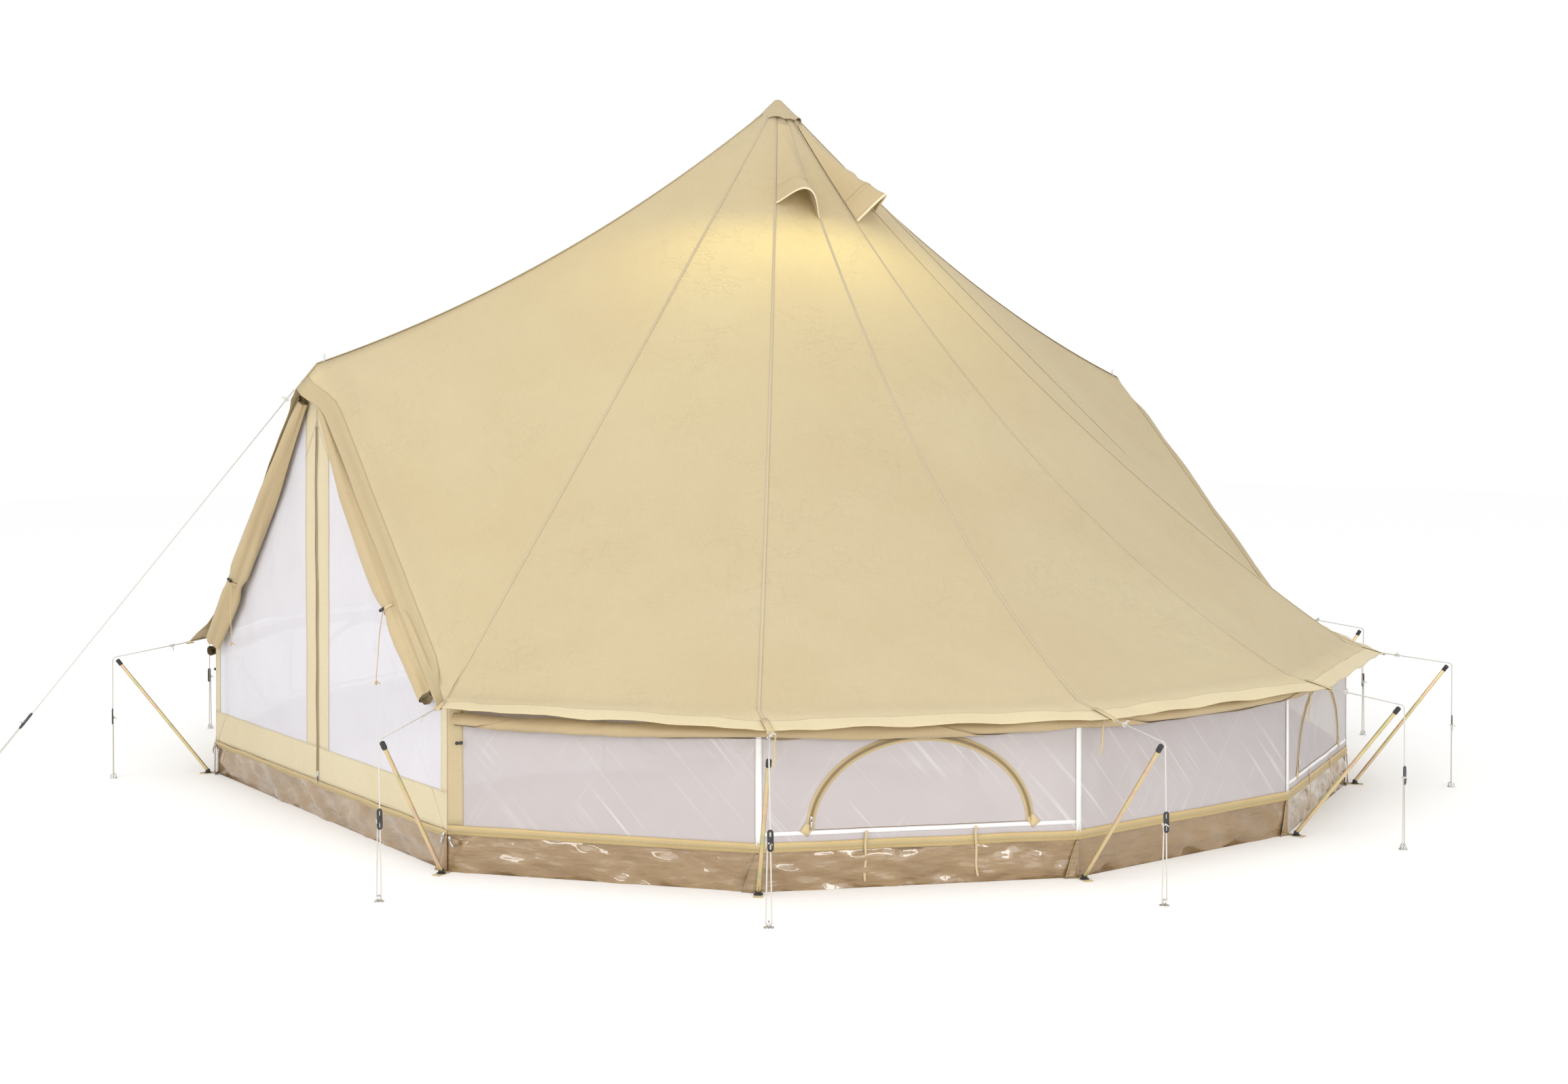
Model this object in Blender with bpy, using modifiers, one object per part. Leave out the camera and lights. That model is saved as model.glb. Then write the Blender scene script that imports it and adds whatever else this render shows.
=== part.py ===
"""Bell tent, five metres across, with mesh walls, two A-frame doors and a tub groundsheet.

Metres, +Z up. The origin is on the ground under the centre pole. The front door faces -Y and
the rear door faces +Y; right is +X. The tent is the same on both sides of both planes.
"""

import math

import bmesh
import bpy
from mathutils import Matrix, Vector

# Driving dimensions, in metres unless the name says otherwise.
BASE_RADIUS = 2.5  # centre to a corner of the groundsheet
SIDE_STRETCH = 1.015  # the tent is pegged out slightly wider along X
DOOR_ANGLE = 52.5  # degrees of the ring taken by each door
SIDE_PANELS = 5  # wall panels between the two doors, on each side
WALL_HEIGHT = 0.605  # ground to the fold where the wall meets the roof
WALL_TOP_RADIUS = 2.49  # centre to a corner at that fold
CROWN_HEIGHT = 2.95
CROWN_RADIUS = 0.05
CANVAS = 0.005  # thickness of the roof's solid
MESH = 0.003  # thickness of the solids for mesh, floor and flaps
GAP = 0.0005  # clearance between touching pieces

# Cap over the crown: a cone from a small flat tip to just past the crown.
CAP_TIP_RISE = 0.045
CAP_TIP_SHARE = 0.25  # the tip's radius, as a share of the crown's
CAP_LIFT = 0.011
CAP_ROWS = (0.0, 0.012, 0.026)  # fractions of the way down the ridges

# Roof: how far each ridge sags below the straight line from crown to fold.
SAG_SIDE = 0.28
SAG_SHOULDER = 0.16
SAG_DOOR_CORNER = 0.01
SAG_DOOR_RIDGE = 0.11
ROOF_ROWS = 9
EYELET_RADIUS = 0.007
GORE_STEPS = (0.15, 0.40, 0.70, 0.92)  # columns across each half of a door gore

# Hem: the overhang past the wall, out to the webbing loop on each corner.
LOOP_RADIUS = 2.635
LOOP_HEIGHT = 0.56
DOOR_LOOP_RADIUS = 2.60
DOOR_LOOP_HEIGHT = 0.585
DOOR_HEM = 0.048  # overhang along a door's slanted edges
DOOR_HEM_DROP = 0.012
PITCH_TWIST = 0.9  # degrees that the loops, strut heads and pegs stand round from the corners

# Doors.
DOOR_PEAK = 1.772  # height of the door's peak
HOOD_REACH = 0.085  # how far the rain hood's tip stands out of the door
HOOD_DROP = 0.10
LEAF_TOP = 1.55  # height where the two mesh leaves part
LEAF_WIDTH = 1.10
FOLD_GAP = 0.002  # between a leaf and the fixed mesh beside it
LEAF_CORNER = 0.008  # width cut off the leaf's two sharp corners, so that they turn freely
STRIP_TOP_DROP = 0.05  # the fixed mesh ends this far below the door's peak
SLIDER_SIZE = (0.012, 0.006, 0.022)
SLIDER_RISE = 0.03  # above the groundsheet's rim
SLIDER_BEVEL = 0.0015

# Canvas doors, rolled and tied back along the slanted edges.
ROLL_RADIUS = 0.038
ROLL_START = 0.12  # share of the slanted edge where the roll begins
ROLL_RUN = 0.81
ROLL_INSET = 0.028  # clear of the slanted edge
ROLL_STAND = 0.003  # clear of the mesh door
ROLL_TIE = 0.72  # share of the roll at the tie that pinches it
ROLL_PINCH = 0.16

# Groundsheet.
TUB_HEIGHT = 0.14

WALL_TOP_CLEAR = 0.009  # the mesh walls end this far below the fold

# Windows: a half-moon flap hinged along its straight lower edge.
WINDOW_PANELS = (2, 4)  # counted from the front door
WINDOW_SILL = 0.20
WINDOW_WIDTH = 0.76
WINDOW_RISE = 0.30
WINDOW_CUT = 0.0015  # slit round the flap
CUT_DEPTH = 0.02

# Walls rolled up under the hem.
WALL_ROLL_RADIUS = 0.029
WALL_ROLL_HEIGHT = 0.538
WALL_ROLL_SAG = 0.014
WALL_ROLL_STAND = 0.004  # clear of the mesh wall
WALL_ROLL_TRIM = 0.35  # share of the first and last quarter panel that the roll stops short

# Vents near the crown.
VENT_PANELS = (2, 4)
VENT_TOP = 0.045  # fraction of the way down the ridges
VENT_MOUTH = 0.162
VENT_RISE = 0.12  # how far the arched mouth stands off the roof
VENT_CLEAR = 0.007
VENT_SIDE = 0.03  # share of the panel left free beside the hood
VENT_HOLE = 0.035  # radius
VENT_HOLE_AT = 0.12  # fraction of the way down the ridges

# Poles.
POLE_RADIUS = 0.016
POLE_WALL = 0.0015
POLE_JOINTS = (1.0, 2.0)
SPIGOT_LENGTH = 0.08
SPIGOT_PLAY = 0.0004
SPIGOT_TAPER = 0.01
FOOT_FLARE = (0.004, 0.005, 0.012)  # how far the rubber foot stands out: its top, waist and sole
FOOT_HEIGHTS = (0.05, 0.012)  # its top and waist
HEAD_GAP = 0.012  # from the pole's head to the crown
HEAD_DOME = ((0.012, 0.003), (0.021, 0.014), (0.024, 0.03), (0.024, 0.05))  # radius, depth from the top
HEAD_NECK = 0.056

# A-frames in the doors.
FRAME_RADIUS = 0.0095
FRAME_INSET = 0.03
CROWN_BLOCK = 0.05  # length of the crown's arms
CROWN_DROP = 0.065  # from the door's peak to the crown
ARM_EXTRA = 0.002  # by which an arm's radius exceeds a leg's
KNEE_INSET = 0.045  # inside the wall's corner, and below the fold
KNEE_REACH = 0.07  # length of a leg that bends, on each side of its knee
SPIKE_RADIUS = 0.004
SPIKE_RISE = 0.035  # above the door's peak

# Struts and guys.
STRUT_RADIUS = 0.0075
STRUT_FOOT_RADIUS = 2.537
STRUT_HEAD_RADIUS = 2.897
STRUT_HEAD_HEIGHT = 0.5125
STRUT_FOOT_HEIGHT = 0.012
SOLE_RADIUS = 0.0155
SOLE_HEIGHT = 0.016
TOP_CAP_RADIUS = 0.0095
TOP_CAP_LENGTH = 0.022
TOP_CAP_END = 0.004  # past the rod's end
PEG_RADIUS = 2.92
CORD = 0.0045  # guy diameter
RUNNER_HEIGHT = 0.27  # where a corner guy becomes two strands
STRAND_SPACING = 0.0095  # half the distance between the two strands, at the peg
DOOR_PEG = 3.75  # distance from the centre to a door's peg
DOOR_PEG_CLEAR = 0.03  # from the peg to the turn of its cord
DOOR_RUNNER_AT = 0.72  # share of a door guy above its runner
TIE_CLEAR = 0.006  # from a loop to its knot, and from a peg's radius to its cord
BEND_REACH = 0.014  # of the cord over a strut's cap
TAIL_DROP = 0.012  # from the runner down to the doubled cord's end


def clear_scene():
    for item in list(bpy.data.objects):
        bpy.data.objects.remove(item, do_unlink=True)


def new_collection(name):
    collection = bpy.data.collections.new(name)
    bpy.context.scene.collection.children.link(collection)
    return collection


def new_material(name, colour, roughness, metallic=0.0):
    material = bpy.data.materials.new(name)
    material.use_nodes = True
    shader = material.node_tree.nodes["Principled BSDF"]
    shader.inputs["Base Color"].default_value = (*colour, 1.0)
    shader.inputs["Roughness"].default_value = roughness
    shader.inputs["Metallic"].default_value = metallic
    return material


def add_object(name, data, material, collection):
    item = bpy.data.objects.new(name, data)
    collection.objects.link(item)
    if material is not None:
        data.materials.append(material)
    return item


def add_mesh(name, shape, material, collection):
    """A new object from a bmesh, with its faces pointing out."""
    bmesh.ops.recalc_face_normals(shape, faces=shape.faces)
    mesh = bpy.data.meshes.new(name)
    shape.to_mesh(mesh)
    shape.free()
    return add_object(name, mesh, material, collection)


def add_cutter(name, shape):
    """A hidden helper that only cuts."""
    cutter = add_mesh(name, shape, None, CUTTERS)
    cutter.hide_render = True
    cutter.display_type = "WIRE"
    return cutter


def thicken(item, thickness, inward=True):
    solidify = item.modifiers.new("thickness", "SOLIDIFY")
    solidify.thickness = thickness
    solidify.offset = -1.0 if inward else 1.0
    solidify.use_even_offset = True
    return solidify


def cut(item, cutter, operation="DIFFERENCE"):
    boolean = item.modifiers.new(cutter.name, "BOOLEAN")
    boolean.operation = operation
    boolean.object = cutter
    return boolean


def make_real(item):
    """Replaces an object's curve or modifiers by the mesh that they give."""
    graph = bpy.context.evaluated_depsgraph_get()
    mesh = bpy.data.meshes.new_from_object(item.evaluated_get(graph))
    shape = bmesh.new()
    shape.from_mesh(mesh)
    bmesh.ops.remove_doubles(shape, verts=shape.verts, dist=1e-6)
    shape.to_mesh(mesh)
    shape.free()
    name = item.name
    collection = item.users_collection[0]
    matrix = item.matrix_world.copy()
    bpy.data.objects.remove(item, do_unlink=True)
    real = bpy.data.objects.new(name, mesh)
    collection.objects.link(real)
    real.matrix_world = matrix
    return real


def merge(name, pieces):
    """One closed body from pieces that overlap, by EXACT unions."""
    base = make_real(pieces[0])
    for piece in pieces[1:]:
        other = make_real(piece)
        cut(base, other, "UNION")
        base = make_real(base)
        bpy.data.objects.remove(other, do_unlink=True)
    base.name = name
    return base


def tube(name, points, radius, material, collection, sides=2):
    """A tube along a list of (x, y, z) or (x, y, z, relative radius)."""
    curve = bpy.data.curves.new(name, "CURVE")
    curve.dimensions = "3D"
    curve.bevel_depth = radius
    curve.bevel_resolution = sides
    curve.use_fill_caps = True
    spline = curve.splines.new("POLY")
    spline.points.add(len(points) - 1)
    for target, point in zip(spline.points, points):
        target.co = (*point[:3], 1.0)
        if len(point) == 4:
            target.radius = point[3]
    return add_object(name, curve, material, collection)


def cylinder(name, start, end, radius, material, collection, sides=16):
    """A straight capped cylinder or cone between two points; radius may be a pair."""
    start, end = Vector(start), Vector(end)
    first, last = radius if isinstance(radius, tuple) else (radius, radius)
    shape = bmesh.new()
    bmesh.ops.create_cone(
        shape, cap_ends=True, segments=sides, radius1=first, radius2=last, depth=(end - start).length
    )
    turn = (end - start).to_track_quat("Z", "Y").to_matrix().to_4x4()
    bmesh.ops.transform(shape, matrix=Matrix.Translation((start + end) / 2) @ turn, verts=shape.verts)
    return add_mesh(name, shape, material, collection)


def prism(outline, depth, place):
    """A bmesh solid: a flat outline in its own XY plane, from -depth to +depth, then placed."""
    shape = bmesh.new()
    corners = [shape.verts.new((x, y, -depth)) for x, y in outline]
    face = shape.faces.new(corners)
    moved = bmesh.ops.extrude_face_region(shape, geom=[face])["geom"]
    lifted = [piece for piece in moved if isinstance(piece, bmesh.types.BMVert)]
    bmesh.ops.translate(shape, verts=lifted, vec=(0, 0, 2 * depth))
    bmesh.ops.transform(shape, matrix=place, verts=shape.verts)
    bmesh.ops.recalc_face_normals(shape, faces=shape.faces)
    return shape


def loft(rows, around=False):
    """A bmesh sheet through rows of points; around closes each row into a ring."""
    shape = bmesh.new()
    grid = [[shape.verts.new(point) for point in row] for row in rows]
    for upper, lower in zip(grid, grid[1:]):
        last = len(upper) if around else len(upper) - 1
        for i in range(last):
            j = (i + 1) % len(upper)
            corners = []
            for vert in (upper[i], lower[i], lower[j], upper[j]):
                if vert not in corners:
                    corners.append(vert)
            shape.faces.new(corners)
    return shape


# Places that follow from the driving dimensions.
PANEL_ANGLE = (180 - DOOR_ANGLE) / SIDE_PANELS
SIDE_ANGLES = [DOOR_ANGLE / 2 + PANEL_ANGLE * i for i in range(SIDE_PANELS + 1)]
CORNER_ANGLES = SIDE_ANGLES + [-angle for angle in reversed(SIDE_ANGLES)]
SIDES = {"right": 1, "left": -1}
ENDS = {"front": 1, "rear": -1}


def spot(angle, radius, height):
    """The point at an angle from the front door, a radius and a height."""
    turn = math.radians(angle)
    return Vector((SIDE_STRETCH * radius * math.sin(turn), -radius * math.cos(turn), height))


def wall_spot(angle, height, out=0.0):
    """A point on the outer face of the wall above a corner."""
    lean = (BASE_RADIUS - WALL_TOP_RADIUS) * height / WALL_HEIGHT
    return spot(angle, BASE_RADIUS - lean + out, height)


def door_spot(x, height, out=0.0, end=1):
    """A point in the plane of a door; end is 1 at the front and -1 at the rear."""
    depth = -wall_spot(DOOR_ANGLE / 2, height).y
    return Vector((x, -end * (depth + out), height))


def sag_at(angle):
    """How far the ridge above a corner sags."""
    from_door = min(abs(angle), 180 - abs(angle))
    if from_door < DOOR_ANGLE / 2 + 1:
        return SAG_DOOR_CORNER
    if from_door < DOOR_ANGLE / 2 + PANEL_ANGLE + 1:
        return SAG_SHOULDER
    return SAG_SIDE


def ridge_spot(angle, fraction):
    """A point on the ridge above a corner, from the crown (0) to the fold (1)."""
    radius = CROWN_RADIUS + (WALL_TOP_RADIUS - CROWN_RADIUS) * fraction
    height = CROWN_HEIGHT + (WALL_HEIGHT - CROWN_HEIGHT) * fraction
    return spot(angle, radius, height - 4 * sag_at(angle) * fraction * (1 - fraction))


def door_ridge_spot(end, fraction):
    """A point on the ridge over a door, from the crown (0) to the door's peak (1)."""
    peak = door_spot(0, DOOR_PEAK, end=end)
    crown = spot(0 if end == 1 else 180, CROWN_RADIUS, CROWN_HEIGHT)
    point = crown.lerp(peak, fraction)
    point.z -= 4 * SAG_DOOR_RIDGE * fraction * (1 - fraction)
    return point


def loop_spot(angle):
    """The webbing loop at the hem's corner, where the guy is tied."""
    if min(abs(angle), 180 - abs(angle)) < DOOR_ANGLE / 2 + 1:
        return spot(angle + PITCH_TWIST, DOOR_LOOP_RADIUS, DOOR_LOOP_HEIGHT)
    return spot(angle + PITCH_TWIST, LOOP_RADIUS, LOOP_HEIGHT)


def hood_tip(end):
    return door_spot(0, DOOR_PEAK - HOOD_DROP, HOOD_REACH, end)


def gore_spot(end, sign, across, fraction):
    """A point on half a door gore: across goes from the door's ridge (0) to its corner (1)."""
    corner = sign * (SIDE_ANGLES[0] if end == 1 else SIDE_ANGLES[-1])
    return door_ridge_spot(end, fraction).lerp(ridge_spot(corner, fraction), across)


def gore_hem_spot(end, sign, across):
    """The hem's edge in front of a door's slanted edge."""
    overhang = Vector((0, -end * DOOR_HEM, -DOOR_HEM_DROP))
    return gore_spot(end, sign, across, 1) + overhang


def ring(door_point, gore_point, corner_point):
    """One row of points round the whole tent, starting at the front door's ridge."""
    row = []
    for end, sign in ((1, 1), (-1, -1)):
        row.append(door_point(end))
        row += [gore_point(end, sign, across) for across in GORE_STEPS]
        angles = SIDE_ANGLES if sign == 1 else [-angle for angle in reversed(SIDE_ANGLES)]
        row += [corner_point(angle) for angle in angles]
        row += [gore_point(-end, sign, across) for across in reversed(GORE_STEPS)]
    return row


def roof_row(fraction):
    """One ring of the roof at a fraction of the way from the crown (0) to the fold (1)."""
    return ring(
        lambda end: door_ridge_spot(end, fraction),
        lambda end, sign, across: gore_spot(end, sign, across, fraction),
        lambda angle: ridge_spot(angle, fraction),
    )


def make_roof():
    rows = [roof_row(i / ROOF_ROWS) for i in range(ROOF_ROWS + 1)]
    rows.append(ring(hood_tip, gore_hem_spot, loop_spot))
    roof = add_mesh("roof_canvas", loft(rows, around=True), CANVAS_SAND, TENT)
    thicken(roof, CANVAS)
    for name, end in ENDS.items():
        peak = door_spot(0, DOOR_PEAK, -FRAME_INSET, end)
        eyelet = bmesh.new()
        bmesh.ops.create_cone(
            eyelet, cap_ends=True, segments=12, radius1=EYELET_RADIUS, radius2=EYELET_RADIUS, depth=0.3
        )
        bmesh.ops.translate(eyelet, verts=eyelet.verts, vec=peak)
        cut(roof, add_cutter(f"{name}_eyelet_cutter", eyelet))
    for i in VENT_PANELS:
        for sign in SIDES.values():
            cut(roof, add_cutter(f"vent_cutter_{i}_{sign}", vent_opening(i, sign)))


def panel_spot(panel, sign, across, fraction):
    """A point on a roof panel: across goes from its front ridge (0) to its rear ridge (1)."""
    first = ridge_spot(sign * SIDE_ANGLES[panel - 1], fraction)
    return first.lerp(ridge_spot(sign * SIDE_ANGLES[panel], fraction), across)


def panel_normal(panel, sign, fraction):
    """The outward normal in the middle of a roof panel."""
    down = panel_spot(panel, sign, 0.5, fraction + 0.01) - panel_spot(panel, sign, 0.5, fraction)
    along = panel_spot(panel, sign, 1, fraction) - panel_spot(panel, sign, 0, fraction)
    normal = down.cross(along).normalized()
    return normal if normal.z > 0 else -normal


def vent_opening(panel, sign):
    """The hole that a vent hood covers."""
    centre = panel_spot(panel, sign, 0.5, VENT_HOLE_AT)
    normal = panel_normal(panel, sign, VENT_MOUTH)
    shape = bmesh.new()
    bmesh.ops.create_cone(shape, cap_ends=True, segments=16, radius1=VENT_HOLE, radius2=VENT_HOLE, depth=0.1)
    turn = normal.to_track_quat("Z", "Y").to_matrix().to_4x4()
    bmesh.ops.transform(shape, matrix=Matrix.Translation(centre) @ turn, verts=shape.verts)
    return shape


def make_vent(name, panel, sign):
    """A scoop of canvas over the vent, open at its lower, arched mouth."""
    rows = []
    steps = 5
    for i in range(steps + 1):
        down = i / steps
        fraction = VENT_TOP + (VENT_MOUTH - VENT_TOP) * down
        normal = panel_normal(panel, sign, fraction)
        row = []
        for j in range(9):
            across = VENT_SIDE + (1 - 2 * VENT_SIDE) * j / 8
            lift = VENT_CLEAR + VENT_RISE * math.sin(math.pi * across) * down**1.5
            row.append(panel_spot(panel, sign, across, fraction) + normal * lift)
        rows.append(row)
    hood = add_mesh(name, loft(rows), CANVAS_SAND, TENT)
    outward = panel_normal(panel, sign, VENT_MOUTH)
    upward = hood.data.polygons[0].normal.dot(outward) > 0
    thicken(hood, MESH / 2, inward=not upward)


def make_cap():
    """The reinforced cone over the crown."""
    tip = [
        Vector((point.x * CAP_TIP_SHARE, point.y * CAP_TIP_SHARE, CROWN_HEIGHT + CAP_TIP_RISE))
        for point in roof_row(0)
    ]
    rows = [tip]
    for fraction in CAP_ROWS:
        rows.append([point + Vector((0, 0, CAP_LIFT)) for point in roof_row(fraction)])
    shape = loft(rows, around=True)
    shape.verts.ensure_lookup_table()
    shape.faces.new([shape.verts[i] for i in range(len(tip))])
    thicken(add_mesh("apex_cap", shape, CANVAS_SAND, TENT), MESH)


def make_tub():
    """The floor and its upstand, one folded sheet."""
    floor = [wall_spot(angle, 0.0) for angle in CORNER_ANGLES]
    rim = [wall_spot(angle, TUB_HEIGHT) for angle in CORNER_ANGLES]
    shape = loft([rim, floor], around=True)
    shape.verts.ensure_lookup_table()
    shape.faces.new([shape.verts[len(rim) + i] for i in range(len(floor))])
    thicken(add_mesh("groundsheet_tub", shape, PVC_BROWN, TENT), MESH)


def window_frame(panel, sign):
    """The sill's middle, the direction along the panel, up the wall, and outward."""
    first = sign * SIDE_ANGLES[panel - 1]
    second = sign * SIDE_ANGLES[panel]
    sill = (wall_spot(first, WINDOW_SILL) + wall_spot(second, WINDOW_SILL)) / 2
    top = (wall_spot(first, WALL_HEIGHT) + wall_spot(second, WALL_HEIGHT)) / 2
    along = (wall_spot(second, WINDOW_SILL) - wall_spot(first, WINDOW_SILL)).normalized()
    upward = (top - sill).normalized()
    outward = along.cross(upward)
    if outward.dot(sill) < 0:
        along, outward = -along, -outward
    return sill, along, upward, outward


def half_moon(width, rise, steps=18):
    """Half an ellipse on its straight side."""
    return [
        (width / 2 * math.cos(math.pi * i / steps), rise * math.sin(math.pi * i / steps))
        for i in range(steps + 1)
    ]


def window_place(panel, sign, inset):
    sill, along, upward, outward = window_frame(panel, sign)
    turn = Matrix((along, upward, outward)).transposed().to_4x4()
    return Matrix.Translation(sill - outward * inset) @ turn


def make_wall(name, sign):
    """A side's mesh: five panels and, at each end, the fixed strip above the door's leaf."""
    low = TUB_HEIGHT + GAP
    high = WALL_HEIGHT - WALL_TOP_CLEAR
    shape = bmesh.new()
    feet = [shape.verts.new(wall_spot(sign * angle, low)) for angle in SIDE_ANGLES]
    heads = [shape.verts.new(wall_spot(sign * angle, high)) for angle in SIDE_ANGLES]
    for i in range(SIDE_PANELS):
        shape.faces.new([feet[i], feet[i + 1], heads[i + 1], heads[i]])
    along = Vector((LEAF_WIDTH, LEAF_TOP - low)).normalized()
    for end, corner in ((1, 0), (-1, SIDE_PANELS)):
        side = sign * (LEAF_WIDTH + FOLD_GAP / along.y)
        middle = sign * GAP / 2
        upper = DOOR_PEAK - STRIP_TOP_DROP
        strip = [
            shape.verts.new(door_spot(side, low, end=end)),
            feet[corner],
            heads[corner],
            shape.verts.new(door_spot(middle, upper, end=end)),
            shape.verts.new(door_spot(middle, LEAF_TOP + FOLD_GAP / along.x, end=end)),
        ]
        shape.faces.new(strip)
    wall = add_mesh(name, shape, MESH_WHITE, TENT)
    outward = wall.data.polygons[0].normal.dot(wall.data.polygons[0].center) > 0
    thicken(wall, MESH, inward=outward)
    for panel in WINDOW_PANELS:
        place = window_place(panel, sign, 0)
        outline = half_moon(WINDOW_WIDTH + 2 * WINDOW_CUT, WINDOW_RISE + WINDOW_CUT)
        cut(wall, add_cutter(f"{name}_cutter_{panel}", prism(outline, CUT_DEPTH, place)))


def make_flap(name, panel, sign):
    """A half-moon window flap, flush with the wall round it."""
    outline = half_moon(WINDOW_WIDTH, WINDOW_RISE - WINDOW_CUT)
    raise_sill = Matrix.Translation((0, WINDOW_CUT, 0))
    shape = prism(outline, MESH / 2, window_place(panel, sign, MESH / 2) @ raise_sill)
    add_mesh(name, shape, MESH_WHITE, TENT)


def make_leaf(name, sign, end):
    """A mesh door's moving half, flush with the strip beside it."""
    low = TUB_HEIGHT + 3 * GAP
    centre = 2 * GAP
    cut_height = LEAF_CORNER * (LEAF_TOP - TUB_HEIGHT) / LEAF_WIDTH
    corners = [
        (centre, low),
        (LEAF_WIDTH - LEAF_CORNER, low),
        (LEAF_WIDTH - LEAF_CORNER, TUB_HEIGHT + cut_height),
        (LEAF_CORNER, LEAF_TOP - cut_height),
        (centre, LEAF_TOP - cut_height),
    ]
    shape = bmesh.new()
    shape.faces.new([shape.verts.new(door_spot(sign * x, z, end=end)) for x, z in corners])
    leaf = add_mesh(name, shape, MESH_WHITE, TENT)
    facing = leaf.data.polygons[0].normal.dot(Vector((0, -end, 0))) > 0
    thicken(leaf, MESH, inward=facing)


def make_slider(name, end):
    """The zip slider at the foot of the doors' centre zip."""
    width, depth, height = SLIDER_SIZE
    shape = bmesh.new()
    bmesh.ops.create_cube(shape, size=1.0)
    bmesh.ops.scale(shape, vec=(width, depth, height), verts=shape.verts)
    centre = door_spot(width / 2 + 2 * GAP, TUB_HEIGHT + SLIDER_RISE, depth / 2 + 2 * GAP, end)
    bmesh.ops.translate(shape, verts=shape.verts, vec=centre)
    bmesh.ops.bevel(shape, geom=shape.edges, offset=SLIDER_BEVEL, segments=1, affect="EDGES")
    add_mesh(name, shape, STEEL, TENT)


def make_door_roll(name, sign, end):
    """A canvas door, rolled and tied along the slanted edge of its opening."""
    points = []
    steps = 12
    corner_x = abs(wall_spot(DOOR_ANGLE / 2, WALL_HEIGHT).x)
    slant = Vector((corner_x, WALL_HEIGHT - DOOR_PEAK))
    inward = Vector((slant.y, -slant.x)).normalized()
    for i in range(steps + 1):
        down = i / steps
        full = 0.55 + 0.45 * min(1.0, 3 * down) - 0.12 * max(0.0, 6 * down - 5)
        waist = 1 - ROLL_PINCH * math.exp(-(((down - ROLL_TIE) / 0.06) ** 2))
        x, drop = slant * (ROLL_START + ROLL_RUN * down) + inward * (ROLL_INSET + ROLL_RADIUS * full)
        point = door_spot(sign * x, DOOR_PEAK + drop, ROLL_STAND + ROLL_RADIUS * full, end)
        points.append((*point, full * waist))
    tube(name, points, ROLL_RADIUS, CANVAS_SAND, TENT)


def make_wall_roll(name, sign):
    """The canvas wall, rolled up and tied under the hem, sagging between the corners."""
    out = WALL_ROLL_RADIUS + WALL_ROLL_STAND
    points = []
    steps = 4
    for i in range(SIDE_PANELS):
        first = wall_spot(sign * SIDE_ANGLES[i], WALL_ROLL_HEIGHT, out)
        second = wall_spot(sign * SIDE_ANGLES[i + 1], WALL_ROLL_HEIGHT, out)
        for j in range(steps):
            part = j / steps
            point = first.lerp(second, part)
            point.z -= 4 * WALL_ROLL_SAG * part * (1 - part)
            points.append(point)
    points.append(wall_spot(sign * SIDE_ANGLES[-1], WALL_ROLL_HEIGHT, out))
    first, last = Vector(points[0]), Vector(points[-1])
    points[0] = first.lerp(Vector(points[1]), WALL_ROLL_TRIM)
    points[-1] = last.lerp(Vector(points[-2]), WALL_ROLL_TRIM)
    tube(name, points, WALL_ROLL_RADIUS, CANVAS_SAND, TENT)


def turned(name, profile, material, sides=20):
    """A solid of revolution about Z from (radius, height) pairs that run down its outer side."""
    shape = bmesh.new()
    verts = [shape.verts.new((radius, 0, height)) for radius, height in profile]
    for first, second in zip(verts, verts[1:]):
        shape.edges.new((first, second))
    if profile[0][0] > 0:
        shape.edges.new((verts[-1], verts[0]))
    mesh = bpy.data.meshes.new(name)
    shape.to_mesh(mesh)
    shape.free()
    item = add_object(name, mesh, material, TENT)
    screw = item.modifiers.new("turn", "SCREW")
    screw.axis = "Z"
    screw.steps = sides
    screw.render_steps = sides
    screw.use_merge_vertices = True
    screw.merge_threshold = 0.00005
    screw.use_smooth_shade = True
    return item


def pole_section(low, high, spigot):
    """A section's profile: hollow where the spigot below enters, with its own spigot above."""
    inner = POLE_RADIUS - POLE_WALL
    slim = inner - SPIGOT_PLAY
    profile = []
    if spigot:
        profile += [(slim - POLE_WALL, high + SPIGOT_LENGTH), (slim, high + SPIGOT_LENGTH), (slim, high)]
    else:
        profile += [(inner, high)]
    profile += [(POLE_RADIUS, high), (POLE_RADIUS, low), (inner, low)]
    if spigot:
        profile += [(inner, high - SPIGOT_TAPER), (slim - POLE_WALL, high)]
    return profile


def make_centre_pole():
    """Three steel sections; the lower one has a rubber foot and the upper one a domed head."""
    floor = MESH + GAP
    inner = POLE_RADIUS - POLE_WALL
    slim = inner - SPIGOT_PLAY
    first, second = POLE_JOINTS
    top_flare, waist_flare, sole_flare = FOOT_FLARE
    foot_top, foot_waist = FOOT_HEIGHTS
    lower = [
        (0, first + SPIGOT_LENGTH),
        (slim, first + SPIGOT_LENGTH),
        (slim, first),
        (POLE_RADIUS, first),
        (POLE_RADIUS, floor + foot_top),
        (POLE_RADIUS + top_flare, floor + foot_top),
        (POLE_RADIUS + waist_flare, floor + foot_waist),
        (POLE_RADIUS + sole_flare, floor),
        (0, floor),
    ]
    turned("centre_pole_lower", lower, STEEL)
    turned("centre_pole_middle", pole_section(first + GAP, second, True), STEEL)
    top = CROWN_HEIGHT - HEAD_GAP
    upper = [
        (0, top),
        *((radius, top - depth) for radius, depth in HEAD_DOME),
        (POLE_RADIUS, top - HEAD_NECK),
        (POLE_RADIUS, second + GAP),
        (inner, second + GAP),
        (inner, second + SPIGOT_LENGTH + SPIGOT_TAPER),
        (0, second + SPIGOT_LENGTH + SPIGOT_TAPER),
    ]
    turned("centre_pole_upper", upper, STEEL)


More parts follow.
